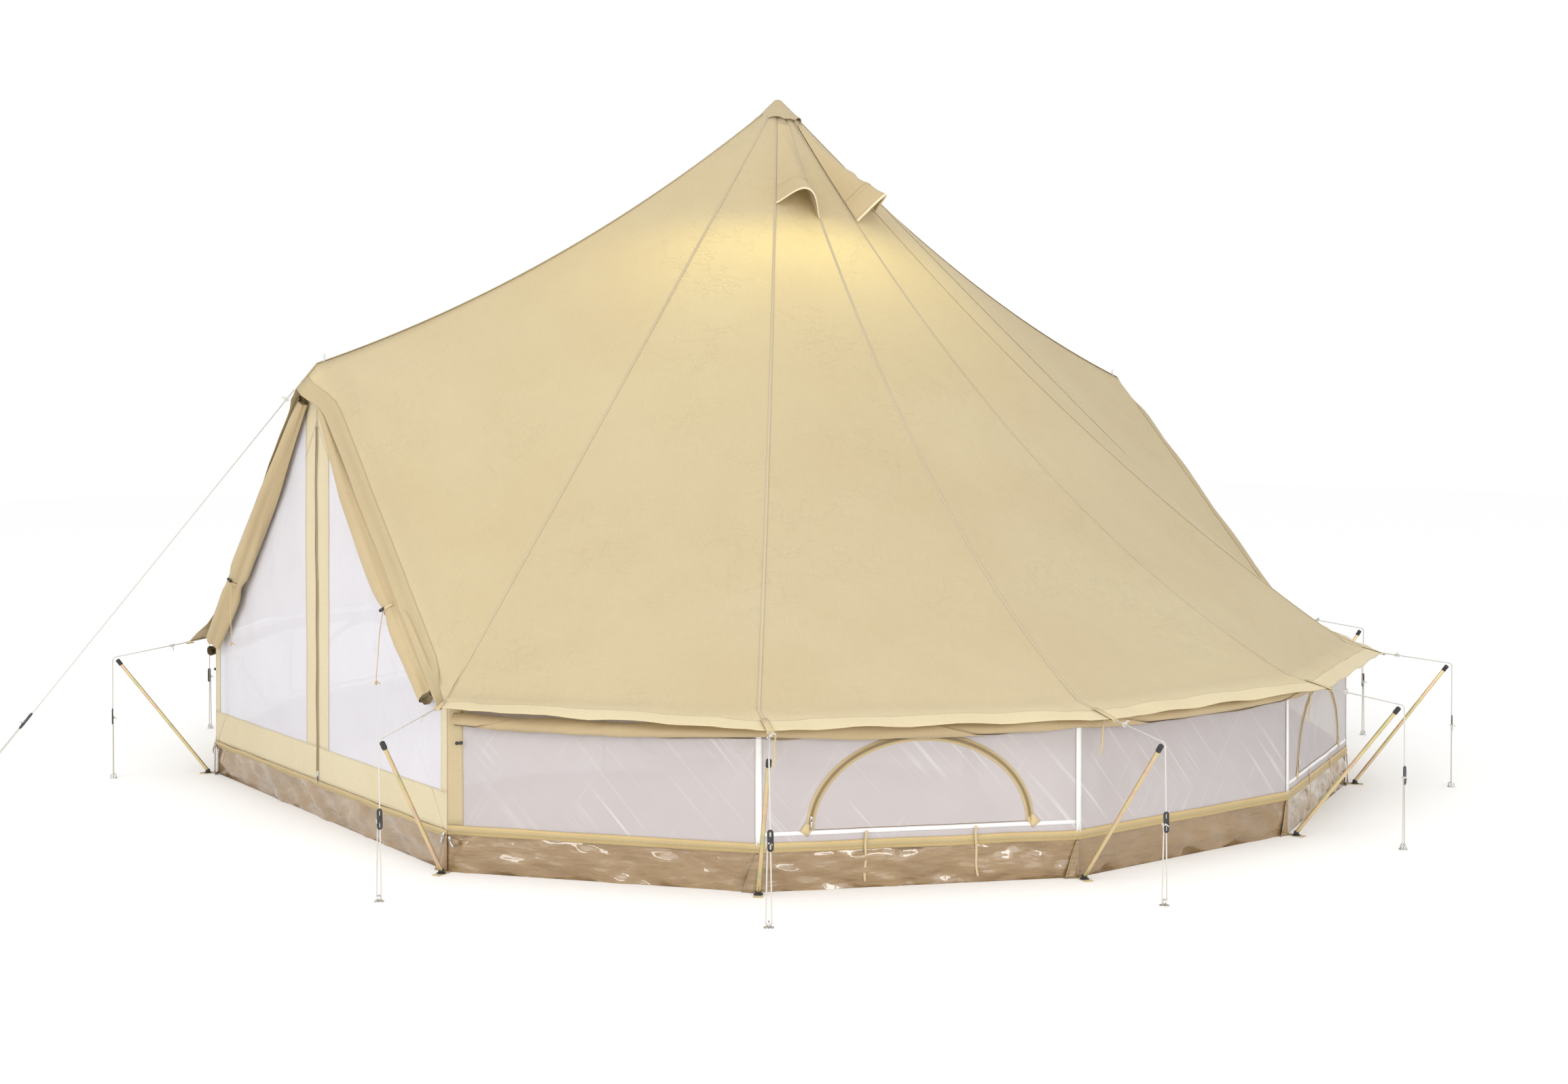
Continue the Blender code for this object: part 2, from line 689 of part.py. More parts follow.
def make_a_frame(end_name, end):
    """Two bent legs that plug into a crown, whose spike stands through the roof's eyelet."""
    inset = -FRAME_INSET
    knee_x = abs(wall_spot(DOOR_ANGLE / 2, WALL_HEIGHT).x) - KNEE_INSET
    knee_height = WALL_HEIGHT - KNEE_INSET
    peak_height = DOOR_PEAK - CROWN_DROP
    slope = Vector((knee_x, 0, knee_height - peak_height)).normalized()
    start = door_spot(0, peak_height, inset, end)
    for side_name, sign in SIDES.items():
        knee = door_spot(sign * knee_x, knee_height, inset, end)
        foot = door_spot(sign * knee_x, MESH + GAP, inset, end)
        begin = start + (knee - start).normalized() * CROWN_BLOCK
        bend = smooth_bend(start, knee, knee - Vector((0, 0, 1)), KNEE_REACH, 6)
        tube(f"{end_name}_a_frame_leg_{side_name}", [begin, *bend, foot], FRAME_RADIUS, STEEL, TENT)
    arms = []
    for sign in SIDES.values():
        tip = start + Vector((sign * slope.x, 0, slope.z)) * (CROWN_BLOCK - GAP)
        arms.append(cylinder("arm", start, tip, FRAME_RADIUS + ARM_EXTRA, STEEL, TENT))
    spike_top = Vector((start.x, start.y, DOOR_PEAK + SPIKE_RISE))
    arms.append(cylinder("spike", start, spike_top, SPIKE_RADIUS, STEEL, TENT, sides=10))
    crown = merge(f"{end_name}_a_frame_crown", arms)
    crown.data.materials.clear()
    crown.data.materials.append(STEEL)


def make_strut(index, angle):
    """A plated tube leaning outward, with a rubber foot on the ground and a grooved cap."""
    foot = spot(angle, STRUT_FOOT_RADIUS, STRUT_FOOT_HEIGHT)
    head = spot(angle + PITCH_TWIST, STRUT_HEAD_RADIUS, STRUT_HEAD_HEIGHT)
    along = (head - foot).normalized()
    ground = Vector((foot.x, foot.y, 0))
    sole_top = ground + Vector((0, 0, SOLE_HEIGHT))
    cap_start, cap_end = head - along * TOP_CAP_LENGTH, head + along * TOP_CAP_END
    pieces = [
        cylinder("rod", foot, head, STRUT_RADIUS, STEEL, TENT, sides=12),
        cylinder("sole", ground, sole_top, SOLE_RADIUS, RUBBER, TENT, sides=16),
        cylinder("cap", cap_start, cap_end, TOP_CAP_RADIUS, RUBBER, TENT, sides=12),
    ]
    strut = merge(f"strut_{index:02d}", pieces)
    strut.data.materials.clear()
    strut.data.materials.append(ZINC_GOLD)


def smooth_bend(before, corner, after, reach, steps):
    """Points round a corner, from reach before it to reach after it."""
    entry = corner + (before - corner).normalized() * reach
    leave = corner + (after - corner).normalized() * reach
    points = []
    for i in range(steps + 1):
        part = i / steps
        points.append(entry * (1 - part) ** 2 + corner * 2 * part * (1 - part) + leave * part**2)
    return points


def corner_guy_route(angle):
    """Loop, over the strut's cap, down to the peg, round its hook and back up to the runner."""
    outward = spot(angle + PITCH_TWIST, 1, 0).normalized()
    start = loop_spot(angle) + outward * TIE_CLEAR
    foot = spot(angle, STRUT_FOOT_RADIUS, STRUT_FOOT_HEIGHT)
    head = spot(angle + PITCH_TWIST, STRUT_HEAD_RADIUS, STRUT_HEAD_HEIGHT)
    along = (head - foot).normalized()
    over = head + along * 0.012 + Vector((0, 0, 0.003))
    aside = Vector((-outward.y, outward.x, 0))
    down = spot(angle + PITCH_TWIST, PEG_RADIUS, 0) + outward * TIE_CLEAR
    low = STRAND_SPACING + CORD / 2 + 0.004
    first_low = down + aside * STRAND_SPACING + Vector((0, 0, low))
    second_low = down - aside * STRAND_SPACING + Vector((0, 0, low))
    clear_of_cap = over + outward * BEND_REACH
    points = [start, *smooth_bend(start, clear_of_cap, first_low, BEND_REACH, 4)]
    runner = clear_of_cap.lerp(first_low, (clear_of_cap.z - RUNNER_HEIGHT) / (clear_of_cap.z - low))
    points += [runner, first_low]
    for i in range(1, 6):
        turn = math.pi * i / 6
        drop = Vector((0, 0, -STRAND_SPACING * math.sin(turn)))
        points.append(down + aside * STRAND_SPACING * math.cos(turn) + Vector((0, 0, low)) + drop)
    points += [second_low, runner - aside * 2 * CORD + Vector((0, 0, -TAIL_DROP))]
    return points


def make_corner_guy(index, angle):
    tube(f"guy_{index:02d}", corner_guy_route(angle), CORD / 2, CORD_WHITE, TENT)


def door_guy_route(end):
    """From the hood's tip straight to its peg, doubled below the runner."""
    start = door_spot(0, DOOR_PEAK - HOOD_DROP - 0.004, HOOD_REACH + 0.008, end)
    peg = Vector((0, -end * DOOR_PEG, 0))
    along = (peg - start).normalized()
    low = peg - along * DOOR_PEG_CLEAR
    aside = Vector((1, 0, 0))
    first = low + aside * STRAND_SPACING
    second = low - aside * STRAND_SPACING
    runner = start.lerp(first, DOOR_RUNNER_AT)
    points = [start, start.lerp(first, DOOR_RUNNER_AT / 2), runner, first]
    for i in range(1, 6):
        turn = math.pi * i / 6
        points.append(low + aside * STRAND_SPACING * math.cos(turn) + along * STRAND_SPACING * math.sin(turn))
    points += [second, runner - aside * 2 * CORD + along * TAIL_DROP]
    return points


def make_door_guy(end_name, end):
    tube(f"{end_name}_door_guy", door_guy_route(end), CORD / 2, CORD_WHITE, TENT)


clear_scene()
TENT = new_collection("bell_tent")
CUTTERS = new_collection("cutters")

CANVAS_SAND = new_material("canvas", (0.70, 0.57, 0.36), 0.85)
MESH_WHITE = new_material("mosquito_mesh", (0.82, 0.80, 0.80), 0.7)
PVC_BROWN = new_material("pvc", (0.33, 0.22, 0.14), 0.25)
STEEL = new_material("steel", (0.62, 0.62, 0.60), 0.35, 1.0)
ZINC_GOLD = new_material("zinc_gold", (0.62, 0.52, 0.28), 0.35, 0.9)
RUBBER = new_material("rubber", (0.02, 0.02, 0.02), 0.6)
CORD_WHITE = new_material("cord", (0.88, 0.87, 0.83), 0.8)

make_roof()
make_cap()
make_tub()
make_centre_pole()
for side, side_sign in SIDES.items():
    make_wall(f"mesh_wall_{side}", side_sign)
    make_wall_roll(f"rolled_wall_{side}", side_sign)
    for window in WINDOW_PANELS:
        make_flap(f"window_flap_{side}_{window}", window, side_sign)
    for vent in VENT_PANELS:
        make_vent(f"vent_hood_{side}_{vent}", vent, side_sign)
for end_label, end_sign in ENDS.items():
    make_a_frame(end_label, end_sign)
    make_slider(f"{end_label}_door_slider", end_sign)
    make_door_guy(end_label, end_sign)
    for side, side_sign in SIDES.items():
        make_leaf(f"{end_label}_mesh_door_{side}", side_sign, end_sign)
        make_door_roll(f"{end_label}_canvas_door_{side}", side_sign, end_sign)
for number, corner_angle in enumerate(CORNER_ANGLES, start=1):
    make_strut(number, corner_angle)
    make_corner_guy(number, corner_angle)
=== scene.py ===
"""Looks of the bell tent: canvas, mesh, webbing, zips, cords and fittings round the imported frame.

Everything is in metres in the frame's own axes: the front door faces -Y, the rear door +Y, and
right is +X. Each kind of piece has its own function, and materials are built from nodes.
"""

import math

import bmesh
import bpy
import numpy as np
from mathutils import Matrix, Vector, noise


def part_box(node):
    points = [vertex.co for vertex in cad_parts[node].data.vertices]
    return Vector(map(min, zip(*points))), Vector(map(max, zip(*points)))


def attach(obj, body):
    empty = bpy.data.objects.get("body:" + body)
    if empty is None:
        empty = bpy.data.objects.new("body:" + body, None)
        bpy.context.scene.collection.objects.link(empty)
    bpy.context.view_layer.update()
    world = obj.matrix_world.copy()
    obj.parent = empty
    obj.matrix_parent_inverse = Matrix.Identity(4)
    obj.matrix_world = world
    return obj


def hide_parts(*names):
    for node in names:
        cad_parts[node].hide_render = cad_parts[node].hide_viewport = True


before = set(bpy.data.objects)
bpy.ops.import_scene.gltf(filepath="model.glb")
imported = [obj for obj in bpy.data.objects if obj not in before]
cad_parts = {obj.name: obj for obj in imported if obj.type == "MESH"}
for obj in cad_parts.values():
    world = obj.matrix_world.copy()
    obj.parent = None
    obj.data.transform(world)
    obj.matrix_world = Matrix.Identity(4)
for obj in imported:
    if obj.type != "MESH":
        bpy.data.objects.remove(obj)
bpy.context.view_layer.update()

# The tent's own dimensions in metres and degrees, as the frame was designed.
BASE_RADIUS = 2.5
SIDE_STRETCH = 1.015
DOOR_ANGLE = 52.5
SIDE_PANELS = 5
WALL_HEIGHT = 0.605
WALL_TOP_RADIUS = 2.49
CROWN_HEIGHT = 2.95
CROWN_RADIUS = 0.05
SAG_SIDE = 0.28
SAG_SHOULDER = 0.16
SAG_DOOR_CORNER = 0.01
SAG_DOOR_RIDGE = 0.11
LOOP_RADIUS = 2.635
LOOP_HEIGHT = 0.56
DOOR_LOOP_RADIUS = 2.60
DOOR_LOOP_HEIGHT = 0.585
DOOR_HEM = 0.048
DOOR_HEM_DROP = 0.012
PITCH_TWIST = 0.9
DOOR_PEAK = 1.772
HOOD_REACH = 0.085
HOOD_DROP = 0.10
LEAF_TOP = 1.55
LEAF_WIDTH = 1.10
ROLL_RADIUS = 0.038
TUB_HEIGHT = 0.14
WINDOW_PANELS = (2, 4)
WINDOW_SILL = 0.20
WINDOW_WIDTH = 0.76
WINDOW_RISE = 0.30
WALL_ROLL_RADIUS = 0.029
WALL_ROLL_HEIGHT = 0.538
WALL_ROLL_SAG = 0.014
VENT_PANELS = (2, 4)
VENT_TOP = 0.045
VENT_MOUTH = 0.162
VENT_RISE = 0.12
HOOD_RISE = VENT_RISE * 1.12  # the cloth bellies a little more than the frame's hood
STRUT_RADIUS = 0.0075
STRUT_FOOT_RADIUS = 2.537
STRUT_HEAD_RADIUS = 2.897
STRUT_HEAD_HEIGHT = 0.5125
PEG_RADIUS = 2.92
CORD = 0.0045
RUNNER_HEIGHT = 0.27
STRAND_SPACING = 0.0095
DOOR_PEG = 3.75
PANEL_ANGLE = (180 - DOOR_ANGLE) / SIDE_PANELS
SIDE_ANGLES = [DOOR_ANGLE / 2 + PANEL_ANGLE * i for i in range(SIDE_PANELS + 1)]
CORNER_ANGLES = SIDE_ANGLES + [-angle for angle in reversed(SIDE_ANGLES)]
SIDES = {"right": 1, "left": -1}
ENDS = {"front": 1, "rear": -1}

# Sizes of what this script adds.
ROOF_ROWS = 84
ROOF_COLUMNS = 30
HEM_ROWS = 10
PANEL_BULGE = 0.012  # how far a roof panel stands out between its ridges
SEAM_WIDTH = 0.012
HEM_BAND = 0.07
TAPE = 0.0012
DOOR_BAND_TOP = 0.275  # top of the canvas band along a door's foot
CENTRE_STRIP = 0.104
SIDE_STRIP = 0.05
ZIP_WIDTH = 0.034
CORNER_TAPE = 0.020
EDGE_CANVAS = 0.058  # width of the canvas edges of the netting walls
ZIP_COIL = 0.0024
STITCH_PITCH = 0.0042
STITCH_WIDTH = 0.0011
RIB_PITCH = 0.0015
CAP_CLEARANCE = 0.014  # how far a guy passes outside a strut's cap
PEG_BEND = 0.0105
TOGGLE_RADIUS = 0.0062
WALL_LOW = TUB_HEIGHT - 0.002
WALL_TOP = WALL_HEIGHT - 0.006
UP = Vector((0, 0, 1))


# ---------------------------------------------------------------- camera, light and floor

def make_camera():
    """At a person's eye height, outside the front right corner."""
    azimuth, distance, height = math.radians(53.6), 8.657, 1.5725
    below_level, heading = 3.86, 53.41
    data = bpy.data.cameras.new("camera")
    data.lens = 43.32
    data.sensor_width = 36
    camera = bpy.data.objects.new("camera", data)
    camera.location = (distance * math.sin(azimuth), -distance * math.cos(azimuth), height)
    camera.rotation_euler = (math.radians(90 - below_level), 0, math.radians(heading))
    bpy.context.scene.collection.objects.link(camera)
    bpy.context.scene.camera = camera


def area_light(name, place, target, size, power, colour=(1, 1, 1)):
    data = bpy.data.lights.new(name, "AREA")
    data.shape = "RECTANGLE"
    data.size, data.size_y = size
    data.energy = power
    data.color = colour
    lamp = bpy.data.objects.new(name, data)
    lamp.location = place
    lamp.rotation_euler = (Vector(target) - Vector(place)).to_track_quat("-Z", "Y").to_euler()
    lamp.visible_camera = False
    bpy.context.scene.collection.objects.link(lamp)


def make_light():
    world = bpy.data.worlds.new("studio")
    world.use_nodes = True
    world.node_tree.nodes["Background"].inputs["Color"].default_value = (1.0, 1.0, 1.0, 1)
    world.node_tree.nodes["Background"].inputs["Strength"].default_value = 1.02
    bpy.context.scene.world = world
    area_light("key", (3.5, -9.0, 6.5), (0, 0, 1.2), (5.0, 4.0), 176, (1.0, 0.985, 0.96))
    area_light("side", (9.5, -1.0, 4.0), (0, 0, 1.0), (3.0, 4.0), 90)
    area_light("strip_front", (3.3, -7.4, 2.1), (1.5, -1.9, 0.1), (2.6, 0.7), 55)
    area_light("strip_side", (7.8, -2.1, 2.1), (2.2, -1.1, 0.1), (2.6, 0.7), 62)
    lantern = bpy.data.lights.new("lantern", "SPOT")
    lantern.energy = 62
    lantern.color = (1.0, 0.90, 0.30)
    lantern.spot_size = math.radians(172)
    lantern.spot_blend = 0.35
    lantern.shadow_soft_size = 0.06
    lamp = bpy.data.objects.new("lantern", lantern)
    lamp.location = (-0.03, -0.13, 2.47)
    bpy.context.scene.collection.objects.link(lamp)
    bpy.context.scene.view_settings.view_transform = "Standard"


def make_floor():
    bpy.ops.mesh.primitive_plane_add(size=60, location=(0, 0, -0.0005))
    floor = bpy.context.object
    floor.name = "studio_floor"
    material, tree, shader = new_material("floor", (0.97, 0.97, 0.97), 0.85)
    grain = add_node(tree, "TexNoise", {"Scale": 3.0})
    bump = add_node(tree, "Bump", {"Height": grain.outputs["Fac"], "Strength": 0.02})
    tree.links.new(bump.outputs["Normal"], shader.inputs["Normal"])
    floor.data.materials.append(material)


# ---------------------------------------------------------------- materials

def add_node(tree, kind, links=None, **settings):
    """A node, with its settings, and its inputs given as sockets to link or as values."""
    item = tree.nodes.new("ShaderNode" + kind)
    for key, value in settings.items():
        setattr(item, key, value)
    for key, source in (links or {}).items():
        if isinstance(source, bpy.types.NodeSocket):
            tree.links.new(source, item.inputs[key])
        else:
            item.inputs[key].default_value = source
    return item


def new_material(name, colour, roughness, metallic=0.0):
    material = bpy.data.materials.new(name)
    material.use_nodes = True
    tree = material.node_tree
    shader = tree.nodes["Principled BSDF"]
    shader.inputs["Base Color"].default_value = (*colour, 1)
    shader.inputs["Roughness"].default_value = roughness
    shader.inputs["Metallic"].default_value = metallic
    return material, tree, shader


def maths(tree, operation, first, second=0.0, third=0.0):
    item = add_node(tree, "Math", {0: first, 1: second, 2: third}, operation=operation)
    return item.outputs[0]


def run_axes(tree):
    """The piece's own coordinates in metres: along it, and across it."""
    place = add_node(tree, "UVMap", uv_map="run")
    parts = add_node(tree, "SeparateXYZ", {"Vector": place.outputs["UV"]})
    return place.outputs["UV"], parts.outputs["X"], parts.outputs["Y"]


def ramp(tree, value, stops):
    """A colour ramp from (position, colour) stops."""
    item = add_node(tree, "ValToRGB", {"Fac": value})
    elements = item.color_ramp.elements
    while len(elements) < len(stops):
        elements.new(0.5)
    for element, (position, colour) in zip(elements, stops):
        element.position = position
        element.color = (*colour, 1)
    return item.outputs["Color"]


def mix_colour(tree, factor, first, second, blend="MIX"):
    item = add_node(tree, "Mix", data_type="RGBA", blend_type=blend)
    for socket, source in zip((item.inputs[0], item.inputs[6], item.inputs[7]), (factor, first, second)):
        if isinstance(source, bpy.types.NodeSocket):
            tree.links.new(source, socket)
        elif isinstance(source, tuple):
            socket.default_value = (*source, 1)
        else:
            socket.default_value = source
    return item.outputs[2]


def object_noise(tree, scale, detail=3.0, roughness=0.55, stretch=(1, 1, 1)):
    place = add_node(tree, "TexCoord")
    turned = add_node(tree, "Mapping", {"Vector": place.outputs["Object"], "Scale": stretch})
    links = {"Vector": turned.outputs["Vector"], "Scale": scale, "Detail": detail, "Roughness": roughness}
    return add_node(tree, "TexNoise", links).outputs["Fac"]


def run_noise(tree, scale, stretch, detail=2.0):
    place, _, _ = run_axes(tree)
    turned = add_node(tree, "Mapping", {"Vector": place, "Scale": (*stretch, 1)})
    links = {"Vector": turned.outputs["Vector"], "Scale": scale, "Detail": detail}
    return add_node(tree, "TexNoise", links).outputs["Fac"]


def wave_along(tree, axis, pitch):
    """A sine along an axis, from -1 to 1, once each pitch."""
    return maths(tree, "SINE", maths(tree, "MULTIPLY", axis, 2 * math.pi / pitch))


def weave_height(tree, pitch):
    """Plain weave: threads pass over and under each other."""
    _, along, across = run_axes(tree)
    crossed = maths(tree, "MULTIPLY", wave_along(tree, along, pitch * 2), wave_along(tree, across, pitch * 2))
    return maths(tree, "MULTIPLY_ADD", crossed, 0.5, 0.5)


def stitch_mask(tree, rows):
    """1 on the threads of straight rows of stitching, each at a place across the piece."""
    _, along, across = run_axes(tree)
    dash = maths(tree, "LESS_THAN", maths(tree, "PINGPONG", along, STITCH_PITCH), STITCH_PITCH * 0.68)
    found = None
    for row in rows:
        near = maths(tree, "COMPARE", across, row, STITCH_WIDTH / 2)
        found = near if found is None else maths(tree, "MAXIMUM", found, near)
    return maths(tree, "MULTIPLY", found, dash)


def add_bump(tree, shader, height, strength, distance):
    links = {"Height": height, "Strength": strength, "Distance": distance}
    bump = add_node(tree, "Bump", links)
    tree.links.new(bump.outputs["Normal"], shader.inputs["Normal"])
    return bump


def canvas_material(name, colour, tone, through=0.0, rows=(), thread=1.12, crumple=0.0):
    """Cotton canvas: plain weave with slubs, faint mottling and, on seams, rows of stitching."""
    material, tree, shader = new_material(name, colour, 0.9)
    shader.inputs["Sheen Weight"].default_value = 0.12
    shader.inputs["Sheen Roughness"].default_value = 0.6
    shader.inputs["Specular IOR Level"].default_value = 0.25
    dark = tuple(c * (1 - tone) * (1 - 0.03 * i) for i, c in enumerate(colour))
    light = tuple(min(1.0, c * (1 + tone)) for c in colour)
    mottle = ramp(tree, object_noise(tree, 1.7, 5.0), [(0.32, dark), (0.68, light)])
    slubs = maths(tree, "ADD", run_noise(tree, 90.0, (0.12, 4.0)), run_noise(tree, 90.0, (4.0, 0.12)))
    threads = ramp(tree, maths(tree, "MULTIPLY", slubs, 0.5), [(0.38, (0.90, 0.89, 0.87)), (0.62, (1, 1, 1))])
    base = mix_colour(tree, 0.55, mottle, threads, "MULTIPLY")
    height = maths(tree, "MULTIPLY_ADD", weave_height(tree, 0.0009), 0.4, slubs)
    if crumple:
        height = maths(tree, "MULTIPLY_ADD", wrinkles(tree), crumple, height)
    if rows:
        stitch = stitch_mask(tree, rows)
        base = mix_colour(tree, stitch, base, tuple(min(1, c * thread) for c in colour))
        height = maths(tree, "MULTIPLY_ADD", stitch, 1.6, height)
    tree.links.new(base, shader.inputs["Base Color"])
    bump = add_bump(tree, shader, height, 0.35, 0.0006)
    if through:
        glow = add_node(tree, "BsdfTranslucent", {"Color": base, "Normal": bump.outputs["Normal"]})
        both = add_node(tree, "MixShader", {0: through, 1: shader.outputs[0], 2: glow.outputs[0]})
        tree.links.new(both.outputs[0], tree.nodes["Material Output"].inputs["Surface"])
    return material


def wrinkles(tree):
    """Small sharp wrinkles left by packing, in scattered patches."""
    field = object_noise(tree, 6.5, 5.0, 0.62)
    away = maths(tree, "ABSOLUTE", maths(tree, "SUBTRACT", field, 0.5))
    lines = add_node(tree, "MapRange", {"Value": away, "From Max": 0.022, "To Min": 1.0, "To Max": 0.0})
    spread = object_noise(tree, 2.3, 2.0)
    patches = add_node(tree, "MapRange", {"Value": spread, "From Min": 0.45, "From Max": 0.62})
    return maths(tree, "MULTIPLY", lines.outputs["Result"], patches.outputs["Result"])


def creases(tree, angle, fine, slow, low, high):
    """Thin straight creases that run at an angle over a piece."""
    place, _, _ = run_axes(tree)
    scale = (1 / fine, 1 / slow, 1)
    turned = add_node(tree, "Mapping", {"Vector": place, "Rotation": (0, 0, angle), "Scale": scale},
                      vector_type="TEXTURE")
    links = {"Vector": turned.outputs["Vector"], "Scale": 1.0, "Detail": 3.0, "Roughness": 0.6}
    lines = add_node(tree, "TexNoise", links).outputs["Fac"]
    return add_node(tree, "MapRange", {"Value": lines, "From Min": low, "From Max": high}).outputs["Result"]


def netting_material(name, cover, colour, angles, shine):
    """Fine white mosquito mesh: it dims what is behind it; its creases bump, and painted white highlights
    along them stand in for the light they catch.
    """
    material, tree, shader = new_material(name, colour, 0.55)
    shader.inputs["Alpha"].default_value = cover
    shader.inputs["Sheen Weight"].default_value = 0.35
    shader.inputs["Sheen Roughness"].default_value = 0.35
    cloudy = ramp(tree, object_noise(tree, 2.2, 4.0), [(0.3, tuple(c * 0.94 for c in colour)), (0.7, colour)])
    patches = object_noise(tree, 2.6, 2.0)
    chosen = add_node(tree, "MapRange", {"Value": patches, "From Min": 0.42, "From Max": 0.58})
    where = chosen.outputs["Result"]
    first = maths(tree, "MULTIPLY", creases(tree, angles[0], 62.0, 1.2, 0.56, 0.72), where)
    second = maths(tree, "MULTIPLY", creases(tree, angles[1], 48.0, 1.0, 0.58, 0.74),
                   maths(tree, "SUBTRACT", 1.0, where))
    fold_bump_and_highlight = maths(tree, "MAXIMUM", first, second)
    # Painted highlight: the creases are whitened in the colour, for the light they catch; shine sets how
    # much.
    base = mix_colour(tree, maths(tree, "MULTIPLY", fold_bump_and_highlight, shine), cloudy, (1.0, 1.0, 1.0))
    tree.links.new(base, shader.inputs["Base Color"])
    _, along, across = run_axes(tree)
    holes = maths(tree, "MULTIPLY", wave_along(tree, along, 0.0016), wave_along(tree, across, 0.0016))
    height = maths(tree, "MULTIPLY_ADD", fold_bump_and_highlight, 8.0 * shine, holes)
    add_bump(tree, shader, height, 0.35, 0.0004)
    return material


def pvc_material(name):
    """Glossy coated groundsheet: heavy, rippled and lightly scuffed."""
    material, tree, shader = new_material(name, (0.33, 0.235, 0.135), 0.28)
    shader.inputs["Coat Weight"].default_value = 1.0
    shader.inputs["Coat Roughness"].default_value = 0.035
    patches = ramp(
        tree, object_noise(tree, 3.1, 5.0), [(0.3, (0.25, 0.158, 0.07)), (0.7, (0.33, 0.218, 0.105))]
    )
    grime = ramp(tree, object_noise(tree, 26.0, 6.0, 0.7), [(0.35, (0.88, 0.86, 0.84)), (0.6, (1, 1, 1))])
    tree.links.new(mix_colour(tree, 0.5, patches, grime, "MULTIPLY"), shader.inputs["Base Color"])
    rough = add_node(
        tree, "MapRange", {"Value": object_noise(tree, 9.0, 4.0), "To Min": 0.16, "To Max": 0.40}
    )
    tree.links.new(rough.outputs["Result"], shader.inputs["Roughness"])
    ripples = object_noise(tree, 5.0, 3.0, 0.5, (0.8, 0.8, 2.8))
    grain = weave_height(tree, 0.0016)
    height = maths(tree, "MULTIPLY_ADD", grain, 0.003, ripples)
    add_bump(tree, shader, height, 0.8, 0.045)
    return material


def webbing_material(name, colour, rows):
    """Narrow woven tape: ribs across it, a firm edge and stitching."""
    material, tree, shader = new_material(name, colour, 0.8)
    shader.inputs["Sheen Weight"].default_value = 0.15
    _, along, across = run_axes(tree)
    ribs = maths(tree, "MULTIPLY", wave_along(tree, along, RIB_PITCH),
                 wave_along(tree, across, RIB_PITCH * 1.6))
    # Painted shade and highlight: the valleys between the ribs are darkened and the rib tops slightly
    # lightened in the colour.
    shade = ramp(tree, maths(tree, "MULTIPLY_ADD", ribs, 0.5, 0.5), [
        (0.0, tuple(c * 0.82 for c in colour)), (1.0, tuple(min(1, c * 1.06) for c in colour))
    ])
    patchy = ramp(tree, object_noise(tree, 14.0), [(0.3, (0.92, 0.91, 0.9)), (0.7, (1, 1, 1))])
    base = mix_colour(tree, 0.8, shade, patchy, "MULTIPLY")
    thread = stitch_mask(tree, rows)
    base = mix_colour(tree, thread, base, tuple(min(1, c * 1.25) for c in colour))
    height = maths(tree, "MULTIPLY_ADD", thread, 1.5, ribs)
    tree.links.new(base, shader.inputs["Base Color"])
    add_bump(tree, shader, height, 0.4, 0.0004)
    return material


def zip_material(name, tape, coil):
    """Zip tape with a coil of teeth along it and a stitched row at each side."""
    material, tree, shader = new_material(name, tape, 0.6)
    _, along, across = run_axes(tree)
    on_coil = maths(tree, "COMPARE", across, 0.0, 0.0032)
    teeth = maths(tree, "MULTIPLY_ADD", wave_along(tree, along, 0.0026), 0.5, 0.5)
    # Painted shade: the gaps between the coil's teeth, and the valleys between the tape's ribs, are darkened
    # in the colour.
    tooth = ramp(tree, teeth, [(0.2, tuple(c * 0.5 for c in coil)), (0.75, coil)])
    ribs = maths(tree, "MULTIPLY_ADD", wave_along(tree, along, 0.0012), 0.5, 0.5)
    cloth = ramp(tree, ribs, [(0.0, tuple(c * 0.86 for c in tape)), (1.0, tape)])
    patchy = ramp(tree, object_noise(tree, 9.0), [(0.3, (0.9, 0.89, 0.87)), (0.7, (1, 1, 1))])
    base = mix_colour(tree, on_coil, mix_colour(tree, 0.9, cloth, patchy, "MULTIPLY"), tooth)
    thread = stitch_mask(tree, (-0.0125, 0.0125, 0.010, -0.010))
    base = mix_colour(tree, thread, base, tuple(min(1, c * 1.3) for c in tape))
    tree.links.new(base, shader.inputs["Base Color"])
    height = maths(tree, "MULTIPLY_ADD", on_coil, teeth, maths(tree, "MULTIPLY", ribs, 0.2))
    add_bump(tree, shader, height, 0.7, 0.0009)
    return material


def cord_material(name, colour):
    """Braided cord: strands cross in a fine diamond pattern."""
    material, tree, shader = new_material(name, colour, 0.75)
    shader.inputs["Sheen Weight"].default_value = 0.2
    _, along, across = run_axes(tree)
    one = wave_along(tree, maths(tree, "ADD", along, across), 0.0032)
    other = wave_along(tree, maths(tree, "SUBTRACT", along, across), 0.0032)
    braid = maths(tree, "MULTIPLY_ADD", maths(tree, "MAXIMUM", one, other), 0.5, 0.5)
    # Painted shade: the grooves between the strands are darkened in the colour.
    shade = ramp(tree, braid, [(0.35, tuple(c * 0.72 for c in colour)), (0.8, colour)])
    tree.links.new(shade, shader.inputs["Base Color"])
    add_bump(tree, shader, braid, 0.8, 0.0006)
    return material


